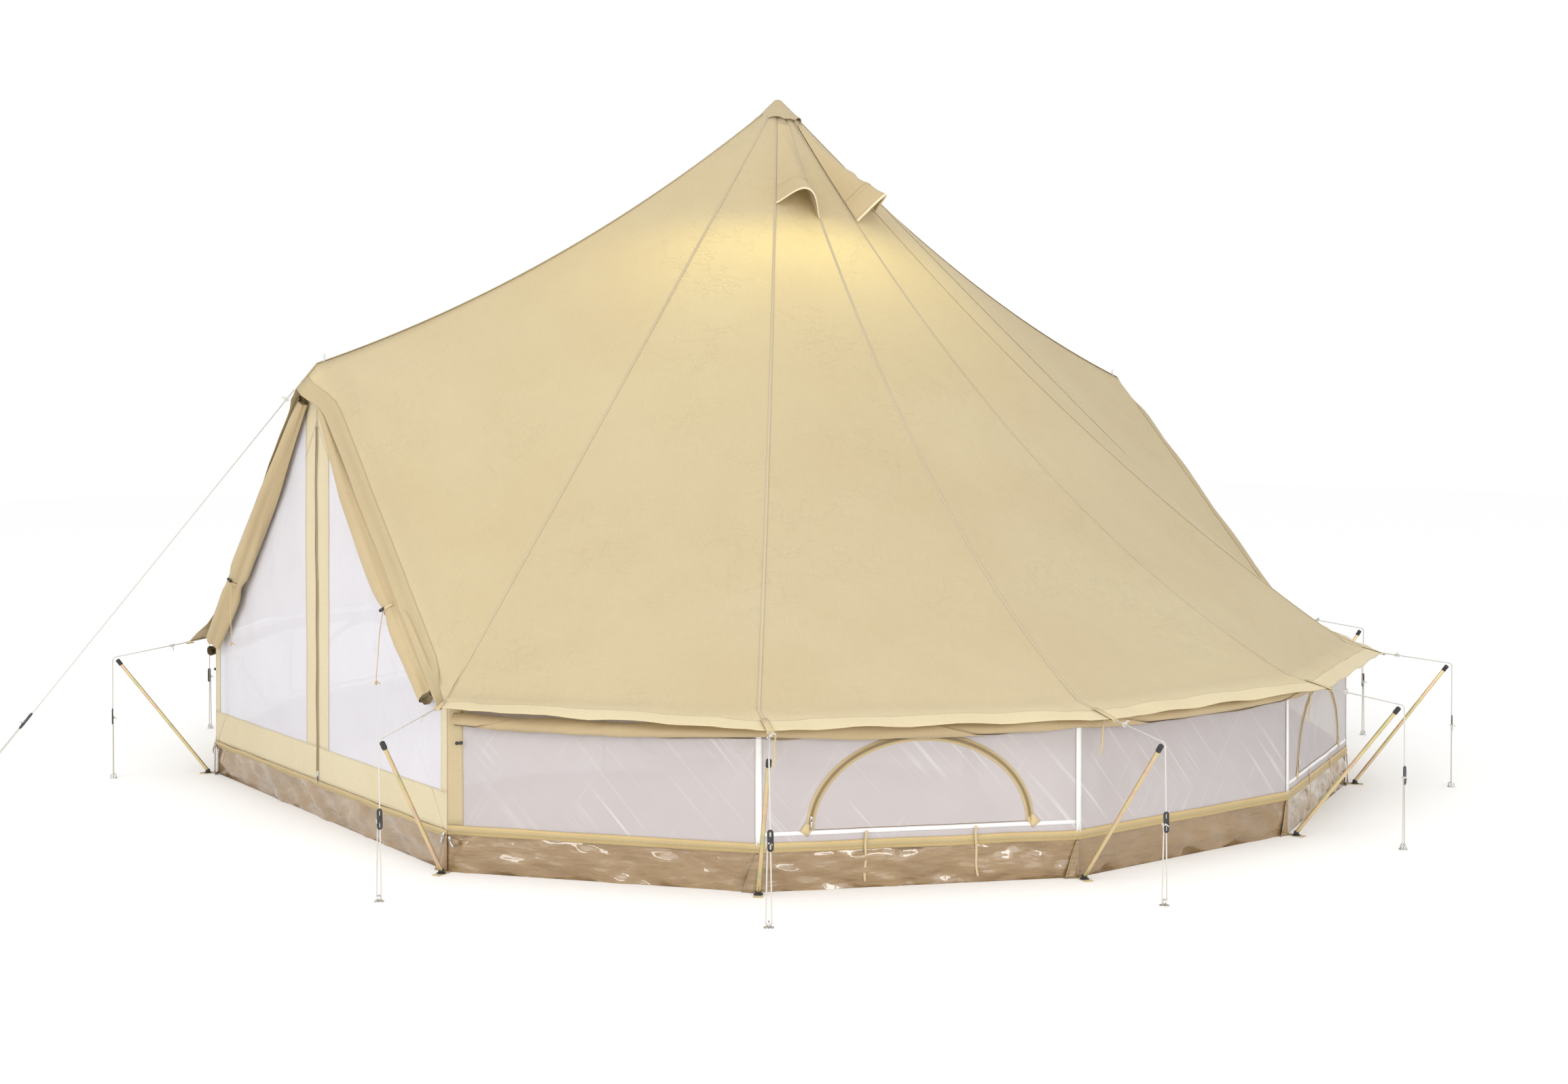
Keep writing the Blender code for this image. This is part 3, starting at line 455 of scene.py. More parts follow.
def zinc_material(name):
    """Yellow passivated zinc: gold, drifting to green and pink, with fine drawing marks."""
    material, tree, shader = new_material(name, (0.70, 0.56, 0.25), 0.3, 0.85)
    drift = object_noise(tree, 7.0, 4.0, 0.6, (1.0, 1.0, 1.6))
    film = ramp(tree, drift, [
        (0.30, (0.50, 0.50, 0.29)), (0.43, (0.64, 0.55, 0.29)), (0.53, (0.69, 0.55, 0.32)),
        (0.63, (0.66, 0.47, 0.33)), (0.74, (0.56, 0.53, 0.33)),
    ])
    tree.links.new(film, shader.inputs["Base Color"])
    marks = run_noise(tree, 60.0, (0.4, 40.0), 4.0)
    rough = add_node(tree, "MapRange", {"Value": marks, "To Min": 0.22, "To Max": 0.48})
    tree.links.new(rough.outputs["Result"], shader.inputs["Roughness"])
    add_bump(tree, shader, marks, 0.25, 0.0003)
    return material


def steel_material(name, colour=(0.60, 0.60, 0.59), roughness=0.33):
    """Galvanised steel: spangled patches, drawing marks and handling scuffs."""
    material, tree, shader = new_material(name, colour, roughness, 1.0)
    place = add_node(tree, "TexCoord").outputs["Object"]
    spangle = add_node(tree, "TexVoronoi", {"Vector": place, "Scale": 70.0}).outputs["Color"]
    grey = add_node(tree, "RGBToBW", {"Color": spangle}).outputs[0]
    dark = tuple(c * 0.78 for c in colour)
    flakes = ramp(tree, grey, [(0.2, dark), (0.8, colour)])
    tree.links.new(flakes, shader.inputs["Base Color"])
    scuffs = object_noise(tree, 60.0, 6.0, 0.7, (1, 1, 0.12))
    rough = add_node(tree, "MapRange",
                     {"Value": scuffs, "To Min": roughness - 0.1, "To Max": roughness + 0.2})
    tree.links.new(rough.outputs["Result"], shader.inputs["Roughness"])
    add_bump(tree, shader, scuffs, 0.15, 0.0003)
    return material


def plastic_material(name, colour, roughness):
    """Moulded black plastic or rubber, with a fine grain and dusty patches."""
    material, tree, shader = new_material(name, colour, roughness)
    dusty = tuple(c + 0.05 for c in colour)
    dust = ramp(tree, object_noise(tree, 120.0, 5.0), [(0.45, colour), (0.85, dusty)])
    tree.links.new(dust, shader.inputs["Base Color"])
    add_bump(tree, shader, object_noise(tree, 900.0, 2.0), 0.3, 0.0003)
    return material


SAND = (0.688, 0.590, 0.378)
PALE_SAND = (0.80, 0.715, 0.50)
TAN = (0.60, 0.45, 0.22)
HEM_STITCHES = (0.004, 0.062, 0.067)
EDGE_STITCHES = (0.004, 0.048)
CANVAS = canvas_material("canvas", SAND, through=0.30, tone=0.02, crumple=8.0)
CANVAS_SEAM = canvas_material("canvas_seam", (0.53, 0.45, 0.30), tone=0.03, rows=(0.0022, 0.0098), thread=0.7)
CANVAS_HEM = canvas_material("canvas_hem", (0.70, 0.605, 0.39), tone=0.02, through=0.10, rows=HEM_STITCHES)
# Painted shade: the hem band over the door gores is the hem canvas given a darker colour.
CANVAS_HEM_DOOR_SHADED = canvas_material("canvas_hem_door_painted_shade", (0.52, 0.425, 0.255), tone=0.02, through=0.10,
                                  rows=HEM_STITCHES)
# Painted shade: the rolled doors are the roof's canvas given a darker colour, for the shade they lie in
# beside the roof's edge.
CANVAS_ROLL_SHADED = canvas_material("canvas_roll_painted_shade", (0.49, 0.39, 0.23), tone=0.04)
CANVAS_SHADE = canvas_material("canvas_shaded_roll", (0.49, 0.385, 0.225), tone=0.05)
# Painted shade: the vent hoods and their bands are the roof's canvas given a darker colour, for the shade on
# them.
CANVAS_HOOD_SHADED = canvas_material("canvas_hood_painted_shade", (0.535, 0.435, 0.26), tone=0.04)
CANVAS_PALE = canvas_material("canvas_pale", PALE_SAND, tone=0.02, through=0.25, rows=EDGE_STITCHES)
CANVAS_EDGE = canvas_material("canvas_wall_edge", (0.62, 0.515, 0.32), tone=0.02, through=0.2,
                              rows=EDGE_STITCHES)
CANVAS_BIND = canvas_material("canvas_binding", (0.84, 0.74, 0.53), rows=(0.003,), tone=0.03)
# Painted shade: the wall netting's colour is darker than the door netting's, for the walls that stand in
# shade under the eaves.
NETTING = netting_material("netting_wall", 0.72, (0.62, 0.58, 0.60), (0.72, -0.58), 0.40)
NETTING_DOOR = netting_material("netting_door", 0.84, (0.75, 0.735, 0.79), (-0.25, 0.12), 0.16)
PVC = pvc_material("pvc_sheet")
WEBBING_TAN = webbing_material("webbing_tan", (0.64, 0.50, 0.28), rows=(-0.0095, 0.0095))
WEBBING_WHITE = webbing_material("webbing_white", (0.90, 0.89, 0.88), rows=(-0.0115, 0.0115))
ZIP_TAN = zip_material("zip_tan", TAN, (0.62, 0.50, 0.27))
ZIP_HALF = zip_material("zip_half", (0.60, 0.46, 0.25), (0.40, 0.30, 0.16))
CORD_WHITE = cord_material("cord_braid", (0.66, 0.64, 0.58))
CORD_TAN = cord_material("cord_tan", (0.66, 0.52, 0.30))
ZINC = zinc_material("zinc_gold_film")
STEEL = steel_material("galvanised_steel")
BRIGHT = steel_material("nickel", (0.75, 0.75, 0.74), 0.22)
RUBBER = plastic_material("black_rubber", (0.022, 0.022, 0.022), 0.55)
PLASTIC = plastic_material("black_plastic", (0.015, 0.015, 0.016), 0.38)


# ---------------------------------------------------------------- building meshes

def grid(rows):
    """Rows of points, with coordinates in metres measured along and across them."""
    rows = np.array([[tuple(p) for p in row] for row in rows], float)
    along = np.zeros(rows.shape[:2])
    across = np.zeros(rows.shape[:2])
    along[:, 1:] = np.cumsum(np.linalg.norm(np.diff(rows, axis=1), axis=2), axis=1)
    across[1:] = np.cumsum(np.linalg.norm(np.diff(rows, axis=0), axis=2), axis=0)
    return rows, np.stack([along, across], axis=2), 0


def piece(name, grids, materials, body="tent", replaces=(), caps=()):
    """One mesh from grids that meet where their points coincide, riding on a body."""
    shape = bmesh.new()
    run = shape.loops.layers.uv.new("run")
    for number, (rows, places, material) in enumerate(grids):
        verts = [[shape.verts.new(point) for point in row] for row in rows.tolist()]
        uv = places.tolist()
        for i in range(len(verts) - 1):
            for j in range(len(verts[0]) - 1):
                corners = ((i, j), (i + 1, j), (i + 1, j + 1), (i, j + 1))
                face = shape.faces.new([verts[a][b] for a, b in corners])
                face.smooth = True
                face.material_index = material
                for loop, (a, b) in zip(face.loops, corners):
                    loop[run].uv = uv[a][b]
        if caps == "all" or number in caps:
            for row in (verts[0], verts[-1]):
                cap = shape.faces.new(row[:-1])
                cap.material_index = material
                for loop in cap.loops:
                    loop[run].uv = (0.0, 0.0)
    bmesh.ops.remove_doubles(shape, verts=shape.verts, dist=1e-5)
    bmesh.ops.dissolve_degenerate(shape, edges=shape.edges, dist=1e-7)
    bmesh.ops.recalc_face_normals(shape, faces=shape.faces)
    mesh = bpy.data.meshes.new(name)
    shape.to_mesh(mesh)
    shape.free()
    item = bpy.data.objects.new(name, mesh)
    bpy.context.scene.collection.objects.link(item)
    for look in materials if isinstance(materials, list) else [materials]:
        mesh.materials.append(look)
    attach(item, body)
    if replaces:
        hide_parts(*replaces)
    return item


def thicken(item, thickness, offset=0.0):
    solidify = item.modifiers.new("thickness", "SOLIDIFY")
    solidify.thickness = thickness
    solidify.offset = offset


def flat_outline(half, thick=0.0008):
    """The section of a flat strip, from half its width and half its thickness."""
    return [(-half, -thick), (-half, thick), (half, thick), (half, -thick), (-half, -thick)]


def frames(path, normals):
    """(side, up) at each point of a path, carried along it or held near the normals."""
    path = [Vector(p) for p in path]
    tangents = []
    for i in range(len(path)):
        before, after = path[max(0, i - 1)], path[min(len(path) - 1, i + 1)]
        tangents.append((after - before).normalized())
    found = []
    up = None
    for i, tangent in enumerate(tangents):
        if normals is not None:
            up = Vector(normals[i] if isinstance(normals, list) else normals)
        elif up is None:
            up = Vector((0, 0, 1)) if abs(tangent.z) < 0.9 else Vector((1, 0, 0))
        up = (up - tangent * up.dot(tangent)).normalized()
        found.append((tangent.cross(up), up))
    return found


def sweep(path, section, normals=None, scales=None):
    """A grid: a section of (side, up) points, or a function of the share along, carried on a path."""
    path = [Vector(p) for p in path]
    rows, places = [], []
    travelled = 0.0
    for i, (point, (side, up)) in enumerate(zip(path, frames(path, normals))):
        if i:
            travelled += (point - path[i - 1]).length
        share = i / (len(path) - 1)
        outline = section(share) if callable(section) else section
        scale = scales[i] if scales is not None else 1.0
        row, uv = [], []
        across = 0.0
        for j, (x, y) in enumerate(outline):
            if j:
                across += math.hypot(x - outline[j - 1][0], y - outline[j - 1][1]) * scale
            row.append(point + (side * x + up * y) * scale)
            uv.append((travelled, across))
        rows.append(row)
        places.append(uv)
    rows = np.array([[tuple(p) for p in row] for row in rows], float)
    return rows, np.array(places, float), 0


def circle(radius, sides):
    return [
        (radius * math.cos(2 * math.pi * i / sides), radius * math.sin(2 * math.pi * i / sides))
        for i in range(sides + 1)
    ]


def across_from_middle(path, outline, normals):
    """A swept grid whose coordinate across is measured from its middle."""
    rows, places, material = sweep(path, outline, normals)
    places[:, :, 1] = [x for x, _ in outline]
    return rows, places, material


def tape(path, width, thickness, normals, lift=0.0):
    """A flat tape lying on a surface."""
    half, top = width / 2, lift + thickness
    outline = [(-half, lift), (-half, top), (0, top), (half, top), (half, lift), (-half, lift)]
    return across_from_middle(path, outline, normals)


def zip_tape(path, width, normals):
    """A zip: tape with a raised coil along its middle."""
    half, shoulder = width / 2, TAPE + ZIP_COIL * 0.8
    outline = [(-half, 0.0), (-half, TAPE), (-0.0036, TAPE), (-0.0026, shoulder), (0, TAPE + ZIP_COIL),
               (0.0026, shoulder), (0.0036, TAPE), (half, TAPE), (half, 0.0), (-half, 0.0)]
    return across_from_middle(path, outline, normals)


def lathe(profile, origin, axis, sides=20, material=0):
    """A turned shape from (radius, height) pairs along an axis."""
    axis = Vector(axis).normalized()
    side = axis.orthogonal().normalized()
    other = axis.cross(side)
    rows, places = [], []
    run = 0.0
    for i, (radius, height) in enumerate(profile):
        if i:
            run += math.hypot(radius - profile[i - 1][0], height - profile[i - 1][1])
        row = []
        for j in range(sides + 1):
            turn = 2 * math.pi * j / sides
            around = side * math.cos(turn) + other * math.sin(turn)
            row.append(tuple(Vector(origin) + axis * height + around * radius))
        rows.append(row)
        places.append([(run, radius * 2 * math.pi * j / sides) for j in range(sides + 1)])
    return np.array(rows, float), np.array(places, float), material


def arc_points(first, middle, last, steps):
    """Points on the smooth curve that leaves first towards middle and comes to last."""
    first, middle, last = Vector(first), Vector(middle), Vector(last)
    points = []
    for i in range(steps + 1):
        part = i / steps
        points.append(first * (1 - part) ** 2 + middle * 2 * part * (1 - part) + last * part**2)
    return points


def smooth(value, low, high):
    """0 below low, 1 above high, and an even curve between."""
    part = np.clip((value - low) / (high - low), 0, 1)
    return part * part * (3 - 2 * part)


# ---------------------------------------------------------------- places on the tent

def spot(angle, radius, height):
    """The point at an angle from the front door, a radius and a height."""
    turn = math.radians(angle)
    return Vector((SIDE_STRETCH * radius * math.sin(turn), -radius * math.cos(turn), height))


def wall_spot(angle, height, out=0.0):
    lean = (BASE_RADIUS - WALL_TOP_RADIUS) * height / WALL_HEIGHT
    return spot(angle, BASE_RADIUS - lean + out, height)


def door_spot(x, height, out=0.0, end=1):
    depth = -wall_spot(DOOR_ANGLE / 2, height).y
    return Vector((x, -end * (depth + out), height))


def sag_at(angle):
    from_door = min(abs(angle), 180 - abs(angle))
    if from_door < DOOR_ANGLE / 2 + 1:
        return SAG_DOOR_CORNER
    if from_door < DOOR_ANGLE / 2 + PANEL_ANGLE + 1:
        return SAG_SHOULDER
    return SAG_SIDE


def ridge_spot(angle, fraction):
    """A point on the ridge above a corner, from the crown (0) to the fold (1)."""
    radius = CROWN_RADIUS + (WALL_TOP_RADIUS - CROWN_RADIUS) * fraction
    height = CROWN_HEIGHT + (WALL_HEIGHT - CROWN_HEIGHT) * fraction
    return spot(angle, radius, height - 4 * sag_at(angle) * fraction * (1 - fraction))


def door_ridge_spot(end, fraction):
    """A point on the ridge over a door, from the crown (0) to the door's peak (1)."""
    peak = door_spot(0, DOOR_PEAK, end=end)
    crown = spot(0 if end == 1 else 180, CROWN_RADIUS, CROWN_HEIGHT)
    point = crown.lerp(peak, fraction)
    point.z -= 4 * SAG_DOOR_RIDGE * fraction * (1 - fraction)
    return point


def loop_spot(angle):
    """The webbing loop at the hem's corner, where the guy is tied."""
    if min(abs(angle), 180 - abs(angle)) < DOOR_ANGLE / 2 + 1:
        return spot(angle + PITCH_TWIST, DOOR_LOOP_RADIUS, DOOR_LOOP_HEIGHT)
    return spot(angle + PITCH_TWIST, LOOP_RADIUS, LOOP_HEIGHT)


def hood_tip(end):
    return door_spot(0, DOOR_PEAK - HOOD_DROP, HOOD_REACH, end)


def door_corner(end, sign):
    """The angle of a door's corner."""
    return sign * (SIDE_ANGLES[0] if end == 1 else SIDE_ANGLES[-1])


def smooth_bend(before, corner, after, reach, steps):
    entry = corner + (before - corner).normalized() * reach
    leave = corner + (after - corner).normalized() * reach
    return arc_points(entry, corner, leave, steps)


def corner_guy_route(angle):
    """Loop, over the strut's cap, down to the peg, round its hook and back up to the runner."""
    outward = spot(angle + PITCH_TWIST, 1, 0).normalized()
    start = loop_spot(angle) + outward * 0.006
    foot = spot(angle, STRUT_FOOT_RADIUS, 0.012)
    head = spot(angle + PITCH_TWIST, STRUT_HEAD_RADIUS, STRUT_HEAD_HEIGHT)
    along = (head - foot).normalized()
    over = head + along * 0.012 + Vector((0, 0, 0.003))
    aside = Vector((-outward.y, outward.x, 0))
    down = spot(angle + PITCH_TWIST, PEG_RADIUS, 0) + outward * 0.006
    low = STRAND_SPACING + CORD / 2 + 0.004
    first_low = down + aside * STRAND_SPACING + Vector((0, 0, low))
    second_low = down - aside * STRAND_SPACING + Vector((0, 0, low))
    clear_of_cap = over + outward * CAP_CLEARANCE
    points = [start, *smooth_bend(start, clear_of_cap, first_low, CAP_CLEARANCE, 4)]
    runner = clear_of_cap.lerp(first_low, (clear_of_cap.z - RUNNER_HEIGHT) / (clear_of_cap.z - low))
    points += [runner, first_low]
    for i in range(1, 6):
        turn = math.pi * i / 6
        drop = Vector((0, 0, -STRAND_SPACING * math.sin(turn)))
        points.append(down + aside * STRAND_SPACING * math.cos(turn) + Vector((0, 0, low)) + drop)
    points += [second_low, runner - aside * 2 * CORD + Vector((0, 0, -0.012))]
    return points, runner, outward, down


def door_guy_route(end):
    """From the hood's tip straight to its peg, doubled below the runner."""
    start = door_spot(0, DOOR_PEAK - HOOD_DROP - 0.004, HOOD_REACH + 0.008, end)
    peg = Vector((0, -end * DOOR_PEG, 0))
    along = (peg - start).normalized()
    low = peg - along * 0.03
    aside = Vector((1, 0, 0))
    first = low + aside * STRAND_SPACING
    second = low - aside * STRAND_SPACING
    runner = start.lerp(first, 0.72)
    points = [start, start.lerp(first, 0.36), runner, first]
    for i in range(1, 6):
        turn = math.pi * i / 6
        points.append(low + aside * STRAND_SPACING * math.cos(turn) + along * STRAND_SPACING * math.sin(turn))
    points += [second, runner - aside * 2 * CORD + along * 0.012]
    return points, runner, along, peg


# ---------------------------------------------------------------- cords first

def guy_cord(name, route, stands_for):
    """A braided guy along its route."""
    tube = piece(name, [sweep(route, circle(CORD / 2, 10))], CORD_WHITE, replaces=(stands_for,),
                 caps="all")


def knot(name, place, axis, size, material):
    """A pulled knot with a short tail, where a cord is tied."""
    axis = Vector(axis).normalized()
    side = axis.orthogonal().normalized()
    other = axis.cross(side)
    loop = []
    for i in range(49):
        t = 2 * math.pi * i / 48
        x, y = math.sin(t) + 1.6 * math.sin(2 * t), math.cos(t) - 1.6 * math.cos(2 * t)
        loop.append(Vector(place) + (side * x + axis * y * 1.25 - other * math.sin(3 * t) * 0.9) * size)
    tail = arc_points(place, Vector(place) + side * size * 4 + UP * size * 2,
                      Vector(place) + side * size * 7 - UP * size * 2.5, 8)
    grids = [sweep(loop, circle(CORD * 0.48, 8)), sweep(tail, circle(CORD * 0.46, 8))]
    return piece(name, grids, material, caps=(1,))


def runner_mesh():
    """A flat two-slot guy runner with rounded ends."""
    curve = bpy.data.curves.new("runner_outline", "CURVE")
    curve.dimensions = "2D"
    curve.fill_mode = "BOTH"
    curve.extrude = 0.0016
    curve.bevel_depth = 0.0007
    curve.bevel_resolution = 2
    outer, upper_slot, lower_slot = (0, 0.0095, 0.034), (0.0195, 0.0036, 0.0085), (-0.0195, 0.0036, 0.0085)
    for centre, half_width, half_length in (outer, upper_slot, lower_slot):
        spline = curve.splines.new("POLY")
        outline = []
        straight = half_length - half_width
        for end, begin in ((1, 0), (-1, 180)):
            for i in range(9):
                turn = math.radians(begin + 180 * i / 8)
                rise = centre + end * straight + half_width * math.sin(turn)
                outline.append((half_width * math.cos(turn), rise))
        spline.points.add(len(outline) - 1)
        for target, (x, y) in zip(spline.points, outline):
            target.co = (x, y, 0, 1)
        spline.use_cyclic_u = True
    holder = bpy.data.objects.new("runner_outline", curve)
    bpy.context.scene.collection.objects.link(holder)
    mesh = bpy.data.meshes.new_from_object(holder.evaluated_get(bpy.context.evaluated_depsgraph_get()))
    bpy.data.objects.remove(holder)
    mesh.materials.clear()
    mesh.materials.append(PLASTIC)
    return mesh


def add_runner(name, mesh, place, along, outward):
    along = Vector(along).normalized()
    outward = (Vector(outward) - along * Vector(outward).dot(along)).normalized()
    item = bpy.data.objects.new(name, mesh)
    bpy.context.scene.collection.objects.link(item)
    turn = Matrix((along.cross(outward), along, outward)).transposed().to_4x4()
    item.matrix_world = Matrix.Translation(Vector(place)) @ turn
    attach(item, "tent")
    return item


def peg(name, place, outward):
    """A steel peg's hook over the doubled cord, with a washer on the ground."""
    place = Vector((place.x, place.y, 0))
    outward = Vector((outward.x, outward.y, 0)).normalized()
    aside = Vector((-outward.y, outward.x, 0))
    hook = [place - outward * PEG_BEND + UP * 0.0005]
    for i in range(9):
        turn = math.pi * i / 8
        hook.append(place - outward * PEG_BEND * math.cos(turn) + UP * (0.0125 + 0.0075 * math.sin(turn)))
    hook.append(place + outward * PEG_BEND + UP * 0.006)
    profile = [(0.0, 0.0032), (0.010, 0.0032), (0.0155, 0.0024), (0.0165, 0.001), (0.0165, 0.0), (0, 0)]
    grids = [sweep(hook, circle(0.003, 10), aside), lathe(profile, place, UP, 24)]
    return piece(name, grids, BRIGHT, caps=(0,))


def make_guys():
    plate = runner_mesh()
    for index, angle in enumerate(CORNER_ANGLES, start=1):
        route, runner, outward, down = corner_guy_route(angle)
        tag = f"{index:02d}"
        tied = knot(f"guy_knot_{tag}", route[0].lerp(route[1], 0.22), route[1] - route[0], 0.0034, CORD_WHITE)
        drop = (route[7] - route[5]).normalized()
        slide = add_runner(f"guy_runner_{tag}", plate, runner + outward * 0.001, drop, outward)
        stop = knot(f"guy_end_knot_{tag}", Vector(route[-1]) + UP * 0.004, UP, 0.0022, CORD_WHITE)
        hook = peg(f"peg_{tag}", down, outward)
        guy_cord(f"braided_guy_{tag}", route, f"guy_{tag}")
    for name, end in ENDS.items():
        route, runner, along, down = door_guy_route(end)
        tied = knot(f"{name}_door_guy_knot", route[0].lerp(route[1], 0.06), along, 0.0034, CORD_WHITE)
        facing = Vector((0, -end, 1))
        slide = add_runner(f"{name}_door_guy_runner", plate, runner + facing * 0.001, along, facing)
        stop = knot(f"{name}_door_guy_end_knot", Vector(route[-1]), along, 0.0022, CORD_WHITE)
        hook = peg(f"{name}_door_peg", down - along * 0.025, Vector((0, -end, 0)))
        guy_cord(f"{name}_braided_door_guy", route, f"{name}_door_guy")


# ---------------------------------------------------------------- roof

def bay_edges(kind, end, sign, panel, t):
    """The two edges of a roof bay at t: from crown (0) to fold (1) to hem (2)."""
    if kind == "panel":
        first, second = sign * SIDE_ANGLES[panel - 1], sign * SIDE_ANGLES[panel]
        if t <= 1:
            return ridge_spot(first, t), ridge_spot(second, t)
        return (ridge_spot(first, 1).lerp(loop_spot(first), t - 1),
                ridge_spot(second, 1).lerp(loop_spot(second), t - 1))
    corner = door_corner(end, sign)
    if t <= 1:
        return door_ridge_spot(end, t), ridge_spot(corner, t)
    return (door_ridge_spot(end, 1).lerp(hood_tip(end), t - 1),
            ridge_spot(corner, 1).lerp(loop_spot(corner), t - 1))


def bay_base(kind, end, sign, panel, t, a):
    """A point of a bay before its cloth is shaped; a goes from its first edge (0) to its second."""
    first, second = bay_edges(kind, end, sign, panel, t)
    point = first.lerp(second, a)
    if kind == "gore" and t > 1:
        level = door_ridge_spot(end, 1).lerp(ridge_spot(door_corner(end, sign), 1), a)
        overhang = level + Vector((0, -end * DOOR_HEM, -DOOR_HEM_DROP)) * (t - 1)
        keep = float(smooth(a, 0.0, 0.17) * (1 - smooth(a, 0.90, 1.0)))
        point = point.lerp(overhang, keep)
    return point


def bay_cloth(kind, t, a, width, slant, seed):
    """How far the cloth stands out of its bay there: its bulge, its creases and its slack."""
    body = math.sin(math.pi * a)
    lift = PANEL_BULGE * body * math.sin(math.pi * min(1.0, t)) ** 0.6 if t < 1 else 0.0
    x = (a - 0.5) * width
    for corner in (-1, 1):
        dx, dy = x - corner * width / 2, slant
        reach = math.hypot(dx, dy)
        turn = math.atan2(dy, -corner * dx)
        fade = math.exp(-reach / 0.30) * min(1.0, reach / 0.06) * min(1.0, body * 3)
        lift += 0.0042 * fade * math.sin(11 * turn + seed * 1.7 + corner)
    crumple = noise.noise(Vector((x * 7 + seed * 3.1, slant * 2.2, seed))) * 0.0030
    fine = noise.noise(Vector((x * 19 + seed, slant * 6.5, seed * 2.0))) * 0.0011
    pull = noise.noise(Vector(((x + slant * 0.28) * 13, slant * 0.9, seed + 9.0))) * 0.0016
    lift += (crumple + fine + pull) * min(1.0, body * 2.5)
    if t > 1:
        edge = t - 1
        lift += 0.009 * edge * body * math.sin(7 * a * math.pi + seed) * 0.5
        lift += 0.006 * math.sin(math.pi * edge) * body
    if kind == "gore":
        near = (t - 0.985) / 0.022
        lift += 0.007 * math.exp(-near * near) * min(1.0, a * 8)
    return lift


def bays():
    """Every roof bay: (kind, end, sign, panel, seed)."""
    found = []
    for sign in SIDES.values():
        for panel in range(1, SIDE_PANELS + 1):
            found.append(("panel", 0, sign, panel, panel + (0 if sign == 1 else 20)))
        for end in ENDS.values():
            found.append(("gore", end, sign, 0, 41 + sign * 3 + end))
    return found


def bay_grid(bay):
    """Points, coordinates and outward normals of a bay, from crown to hem."""
    kind, end, sign, panel, seed = bay
    steps = [i / ROOF_ROWS for i in range(ROOF_ROWS + 1)] + [1 + (i + 1) / HEM_ROWS for i in range(HEM_ROWS)]
    middle = ROOF_COLUMNS // 2
    columns_at = [j / ROOF_COLUMNS for j in range(ROOF_COLUMNS + 1)]
    base = np.array([[tuple(bay_base(kind, end, sign, panel, t, a)) for a in columns_at] for t in steps])
    slants = np.zeros(len(steps))
    slants[1:] = np.cumsum(np.linalg.norm(np.diff(base[:, middle], axis=0), axis=1))
    slants -= slants[ROOF_ROWS]
    widths = np.linalg.norm(base[:, -1] - base[:, 0], axis=1)
    down, along = np.gradient(base, axis=0), np.gradient(base, axis=1)
    normals = np.cross(down, along)
    normals /= np.linalg.norm(normals, axis=2, keepdims=True) + 1e-12
    normals *= np.where(normals[ROOF_ROWS // 2, middle, 2] > 0, 1, -1)
    lifts = np.array([
        [bay_cloth(kind, t, a, widths[i], slants[i], seed) for a in columns_at]
        for i, t in enumerate(steps)
    ])
    places = np.zeros((len(steps), ROOF_COLUMNS + 1, 2))
    places[:, :, 0] = (np.array(columns_at)[None, :] - 0.5) * widths[:, None]
    places[:, :, 1] = slants[:, None]
    return base + normals * lifts[:, :, None], places, normals, lifts


def make_roof():
    """One continuous sheet, sewn from its bays, then its hem band and ridge seams."""
    sheets, bands, area = [], [], 0.0
    holes = [vent_centre(panel, sign) for panel in VENT_PANELS for sign in SIDES.values()]
    for bay in bays():
        points, places, normals, _ = bay_grid(bay)
        sheets.append((points, places, 0))
        bands.append((*hem_band(points, normals), int(bay[0] == "gore")))
        edges = np.linalg.norm(np.diff(points[:, [0, -1]], axis=0), axis=2).mean(axis=1)
        widths = np.linalg.norm(points[:, -1] - points[:, 0], axis=1)
        area += float(((widths[:-1] + widths[1:]) / 2 * edges).sum())
    roof = piece("canvas_roof", sheets, CANVAS, replaces=("roof_canvas",))
    cut_holes(roof, holes, 0.034)
    hem = piece("roof_hem_band", bands, [CANVAS_HEM, CANVAS_HEM_DOOR_SHADED])
    thicken(hem, TAPE, 1.0)
    seams = make_ridge_seams()


def vent_centre(panel, sign):
    return panel_spot(panel, sign, 0.5, (VENT_TOP + VENT_MOUTH) / 2 + 0.02)


def cut_holes(item, centres, radius):
    """Removes the faces that lie within a radius of the centres."""
    shape = bmesh.new()
    shape.from_mesh(item.data)
    doomed = [
        face for face in shape.faces
        if any((face.calc_center_median() - centre).length < radius for centre in centres)
    ]
    bmesh.ops.delete(shape, geom=doomed, context="FACES")
    shape.to_mesh(item.data)
    shape.free()


def hem_band(points, normals):
    """The doubled band along the hem's edge, lying just outside the roof."""
    rows = points[ROOF_ROWS - 1:] + normals[ROOF_ROWS - 1:] * 0.0009
    lengths = np.linalg.norm(np.diff(rows, axis=0), axis=2)
    from_edge = np.concatenate([np.cumsum(lengths[::-1], axis=0)[::-1], np.zeros((1, rows.shape[1]))])
    made, places = [], []
    for step in range(9):
        want = HEM_BAND * (1 - step / 8)
        row, uv = [], []
        travelled = 0.0
        for j in range(rows.shape[1]):
            reach = min(want, from_edge[0, j] * (1 - step / 8))
            k = int(np.searchsorted(-from_edge[:, j], -reach))
            k = max(1, min(k, len(rows) - 1))
            part = (from_edge[k - 1, j] - reach) / max(1e-9, from_edge[k - 1, j] - from_edge[k, j])
            row.append(rows[k - 1, j] * (1 - part) + rows[k, j] * part)
            if j:
                travelled += float(np.linalg.norm(row[-1] - row[-2]))
            uv.append((travelled, reach))
        made.append(row)
        places.append(uv)
    return np.array(made), np.array(places)


def ridge_path(angle):
    points = [ridge_spot(angle, i / 60) for i in range(1, 61)]
    return points + [ridge_spot(angle, 1).lerp(loop_spot(angle), i / 6) for i in range(1, 7)]


